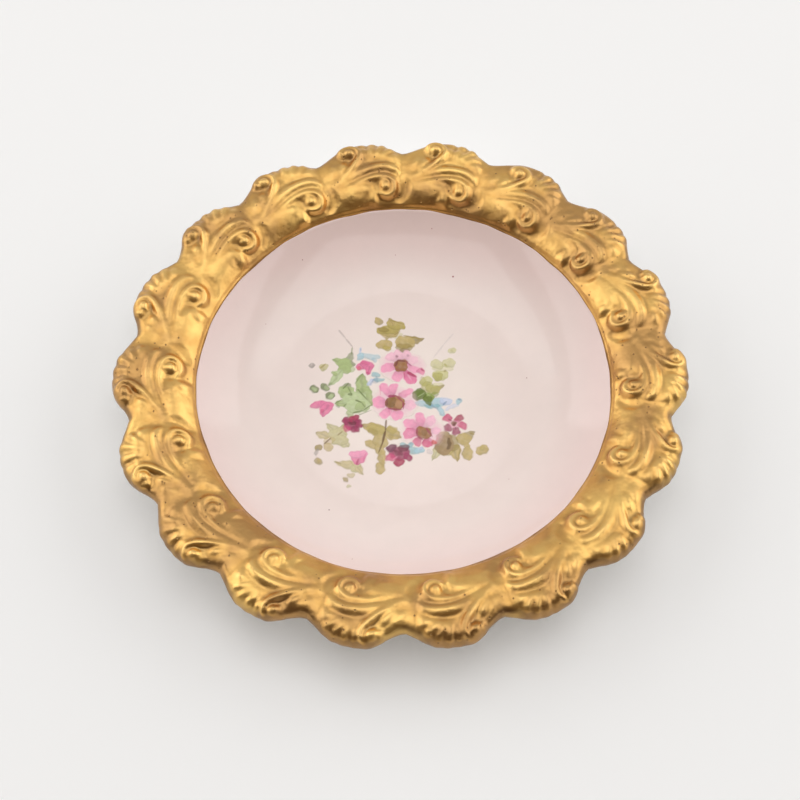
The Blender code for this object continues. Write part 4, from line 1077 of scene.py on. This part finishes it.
        (3.0, -7.9, 2.9, -9.8, 0.55, "line maroon", 0.7), (2.9, -9.7, 4.4, -10.8, 0.60, "line maroon", 0.7),
        (5.0, -7.8, 6.4, -10.0, 0.60, "line maroon", 0.7),
        (5.6, -10.9, 6.2, -10.6, 0.6, "dab rosePale", 0.6),
    )),
)


def strokeOutline(shape, along):
    # half width of a stroke along its length, as a share of its widest
    flatness, roundness = spray["bluntEnds"]
    blunt = np.clip(1 - np.abs(2 * along - 1) ** flatness, 0, 1) ** roundness
    if shape == "petal":
        root, growth = spray["petalRoot"]
        return blunt * mix(root, 1, ease(along * growth))
    if shape == "leaf":
        tip, root, fullness = spray["leafPowers"]
        return np.clip(1 - along, 0, 1) ** tip * np.clip(along, 0, 1) ** root * fullness
    if shape == "line":
        return blunt * mix(1, spray["lineTail"], along)
    return blunt if shape == "dab" else 1      # a dot, or a wash under the rest


def layStroke(x, y, run, width, shape):
    # how far inside a stroke each place lies in mm, and its shares of the length and the half width
    startX, startY, endX, endY = run
    runX, runY = endX - startX, endY - startY
    length = math.hypot(runX, runY)
    along = ((x - startX) * runX + (y - startY) * runY) / length
    across = ((y - startY) * runX - (x - startX) * runY) / length
    past = np.maximum(np.maximum(-along, along - length), 0)
    share = np.clip(along / length, 0, 1)
    return strokeOutline(shape, share) * width / 2 - np.hypot(across, past), share, across / width * 2


def strokeTone(shape, share, side):
    # petals deepen toward the middle of the flower, leaves along their rib, dabs to one side
    if shape == "petal":
        root, tip, growth = spray["petalTone"]
        return mix(root, tip, ease(share * growth))
    if shape == "leaf":
        flat, depth, width = spray["leafTone"]
        return flat - depth * np.exp(-(side / width) ** 2)
    if shape == "dab":
        return 1 + spray["dabTone"] * np.clip(side, -1, 1)
    return 1


def ripples(x, y, terms):
    return sum(size * np.sin(alongX * x + alongY * y + phase) for size, alongX, alongY, phase in terms)


def paintSpray():
    # colour, cover and the uppermost motif at each point of one lattice over the floor
    count = round(2 * spray["reach"] / spray["pitch"]) + 1
    line = np.linspace(-spray["reach"], spray["reach"], count)
    x, y = np.meshgrid(line, line)
    brushX = x + spray["wobble"] * ripples(x, y, spray["wobbleX"])
    brushY = y + spray["wobble"] * ripples(x, y, spray["wobbleY"])
    first, second = (ripples(brushX, brushY, [term]) for term in spray["streaks"])
    streaky = mix(*spray["streakCover"], 0.5 + 0.5 * first * second)
    poolPlace, poolWidth = spray["pooled"]
    paint, cover, owner = np.zeros((count, count, 3)), np.zeros((count, count)), np.full((count, count), -1)
    for number, (_, _, strokes) in enumerate(motifs):
        for *run, width, brush, strength in strokes:
            shape, colour = brush.split()
            place = (x, y) if shape == "line" else (brushX, brushY)
            inside, share, side = layStroke(*place, run, width, shape)
            owner[inside > -spray["margin"]] = number
            laid = ease(inside / spray["softness"][shape] + 0.5) * strength * streaky
            pooled = np.exp(-((inside - poolPlace) / poolWidth) ** 2) * spray["pooling"][shape]
            tone = strokeTone(shape, share, side) - pooled
            tinted = np.array(linear(enamels[colour])) * tone[..., None]
            paint = mix(paint, tinted, laid[..., None])
            cover = mix(cover, 1, laid)
    print("spray painted:", len(motifs), "motifs")
    return line, paint, cover, owner


def makeMotif(number, line, paint, cover, owner, material):
    node, slotName, _ = motifs[number]
    first, *others = node.split("_")
    name = first + "".join(word.capitalize() for word in others)
    rows, columns = np.nonzero(owner == number)
    low = max(rows.min() - 1, 0), max(columns.min() - 1, 0)
    high = min(rows.max() + 1, len(line) - 1), min(columns.max() + 1, len(line) - 1)
    tall, wide = high[0] - low[0], high[1] - low[1]
    bm = bmesh.new()
    bmesh.ops.create_grid(bm, x_segments=int(wide), y_segments=int(tall), size=0.5)
    paintLayer = bm.verts.layers.float_color.new("paint")
    place = {}
    for vert in bm.verts:
        column = low[1] + round((vert.co.x + 0.5) * wide)
        row = low[0] + round((vert.co.y + 0.5) * tall)
        place[vert] = row, column
        laid = cover[row, column]
        lift = (min(laid / spray["edgeCover"], 1) + laid) / 2 * spray["thickness"] - spray["hem"]
        vert[paintLayer] = (*paint[row, column], laid)
        vert.co = (metres(line[column]), metres(line[row]), dish["floorTop"] + metres(lift))
    spare = [face for face in bm.faces if max(owner[place[vert]] for vert in face.verts) != number]
    bmesh.ops.delete(bm, geom=spare, context="FACES")
    bmesh.ops.recalc_face_normals(bm, faces=bm.faces)
    if sum(face.normal.z for face in bm.faces) < 0:
        bmesh.ops.reverse_faces(bm, faces=bm.faces)
    bmesh.ops.solidify(bm, geom=bm.faces, thickness=metres(spray["skin"]))
    nodes = [part for part in (node, node + "_centre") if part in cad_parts]
    addPiece(name, bm, material, nodes)


def makeSpray(material):
    painted = paintSpray()
    for number in range(len(motifs)):
        makeMotif(number, *painted, material)


def enamelFinish():
    material, tree, shader = newMaterial("overglazeEnamel")
    laid = addNode(tree, "Attribute", attribute_name="paint")
    showing = mixColours(tree, laid.outputs["Alpha"], groundColour(tree), (0, 0, 0))
    grain = cloudy(tree, spray["grain"], *spray["grainTone"])
    grained = mixColours(tree, 1, laid.outputs["Color"], grain, "MULTIPLY")
    setGlossyGlaze(tree, shader, mixColours(tree, 1, showing, grained, "ADD"))
    return material


# floor, camera and light
camera = {
    "lens": 78.0,            # mm
    "sensor": 36,            # mm
    "nearest": 0.01,         # m, from there on things are seen
    "elevation": 62.1,       # degrees above the table
    "distance": 0.3788,
    "aim": (-0.00083, -0.00552, 0.0139),
}

studio = {
    # light from all round: dim and warm from the front, bright from the back
    "sky": ((0.142, 0.102, 0.070), (0.69, 0.69, 0.69)),
    "skyBlend": (-0.7, 0.7),     # toward the back, -1 straight in front to 1 straight behind
    "backdrop": (0.86, 0.862, 0.86),   # what the camera sees past the floor
    "floorReach": 0.9,
    "floorFade": (0.25, 0.60),   # from here to there the floor runs into the backdrop
    "floorColour": (0.92, 0.925, 0.925),
    "floorRoughness": 0.9,
    # softboxes: place, size, power
    "lamps": (
        ("leftSoftbox", (-0.80, 0.15, 0.42), (1.10, 0.80), 3.6),
        ("rightSoftbox", (0.80, 0.15, 0.42), (1.10, 0.80), 3.65),
        ("topSoftbox", (0.0, 0.02, 0.95), (0.90, 0.90), 3.0),
    ),
}


def addCamera():
    data = bpy.data.cameras.new("camera")
    data.lens = camera["lens"]
    data.sensor_width = camera["sensor"]
    data.clip_start = camera["nearest"]
    made = addObject("camera", data)
    tilt = math.radians(camera["elevation"])
    away = Vector((0, -math.cos(tilt), math.sin(tilt)))
    made.location = Vector(camera["aim"]) + away * camera["distance"]
    made.rotation_euler = (math.pi / 2 - tilt, 0, 0)
    bpy.context.scene.camera = made
    print("camera set")


def addLamps():
    for name, place, size, power in studio["lamps"]:
        data = bpy.data.lights.new(name, "AREA")
        data.shape = "RECTANGLE"
        data.size, data.size_y = size
        data.energy = power
        lamp = addObject(name, data)
        lamp.location = place
        lamp.rotation_euler = (Vector(camera["aim"]) - lamp.location).to_track_quat("-Z", "Y").to_euler()
    print("lamps set:", len(studio["lamps"]))


def cameraRay(tree):
    return addNode(tree, "LightPath").outputs["Is Camera Ray"]


def addWorld():
    world = bpy.data.worlds.new("studio")
    bpy.context.scene.world = world
    world.use_nodes = True
    tree = world.node_tree
    toBack = addNode(tree, "SeparateXYZ", coordinates(tree, "Generated")).outputs["Y"]
    sky = mixColours(tree, mapRange(tree, toBack, *studio["skyBlend"], 0, 1), *studio["sky"])
    seen = mixColours(tree, cameraRay(tree), sky, studio["backdrop"])
    feed(tree, tree.nodes["Background"].inputs["Color"], seen)
    print("sky set")


def addFloor():
    bm = bmesh.new()
    bmesh.ops.create_grid(bm, x_segments=1, y_segments=1, size=studio["floorReach"])
    floor = addObject("floor", toMesh("floor", bm))
    material, tree, shader = newMaterial("paleFloor")
    feed(tree, shader.inputs["Base Color"], studio["floorColour"])
    feed(tree, shader.inputs["Roughness"], studio["floorRoughness"])
    away = measure(tree, "LENGTH", coordinates(tree))
    fading = mapRange(tree, away, *studio["floorFade"], 0, 1)
    share = calculate(tree, "MULTIPLY", fading, cameraRay(tree))
    plain = addNode(tree, "Emission", Color=studio["backdrop"])
    blend = addNode(tree, "MixShader", share, shader.outputs[0], plain.outputs[0])
    feed(tree, tree.nodes["Material Output"].inputs["Surface"], blend.outputs[0])
    floor.data.materials.append(material)
    print("floor laid")


addCamera()
addLamps()
addWorld()
addFloor()
makeBorder(gildedFinish())
makeGround(pinkFinish())
makeBody(porcelainFinish())
makeSpray(enamelFinish())

bpy.context.scene.view_settings.view_transform = "Standard"
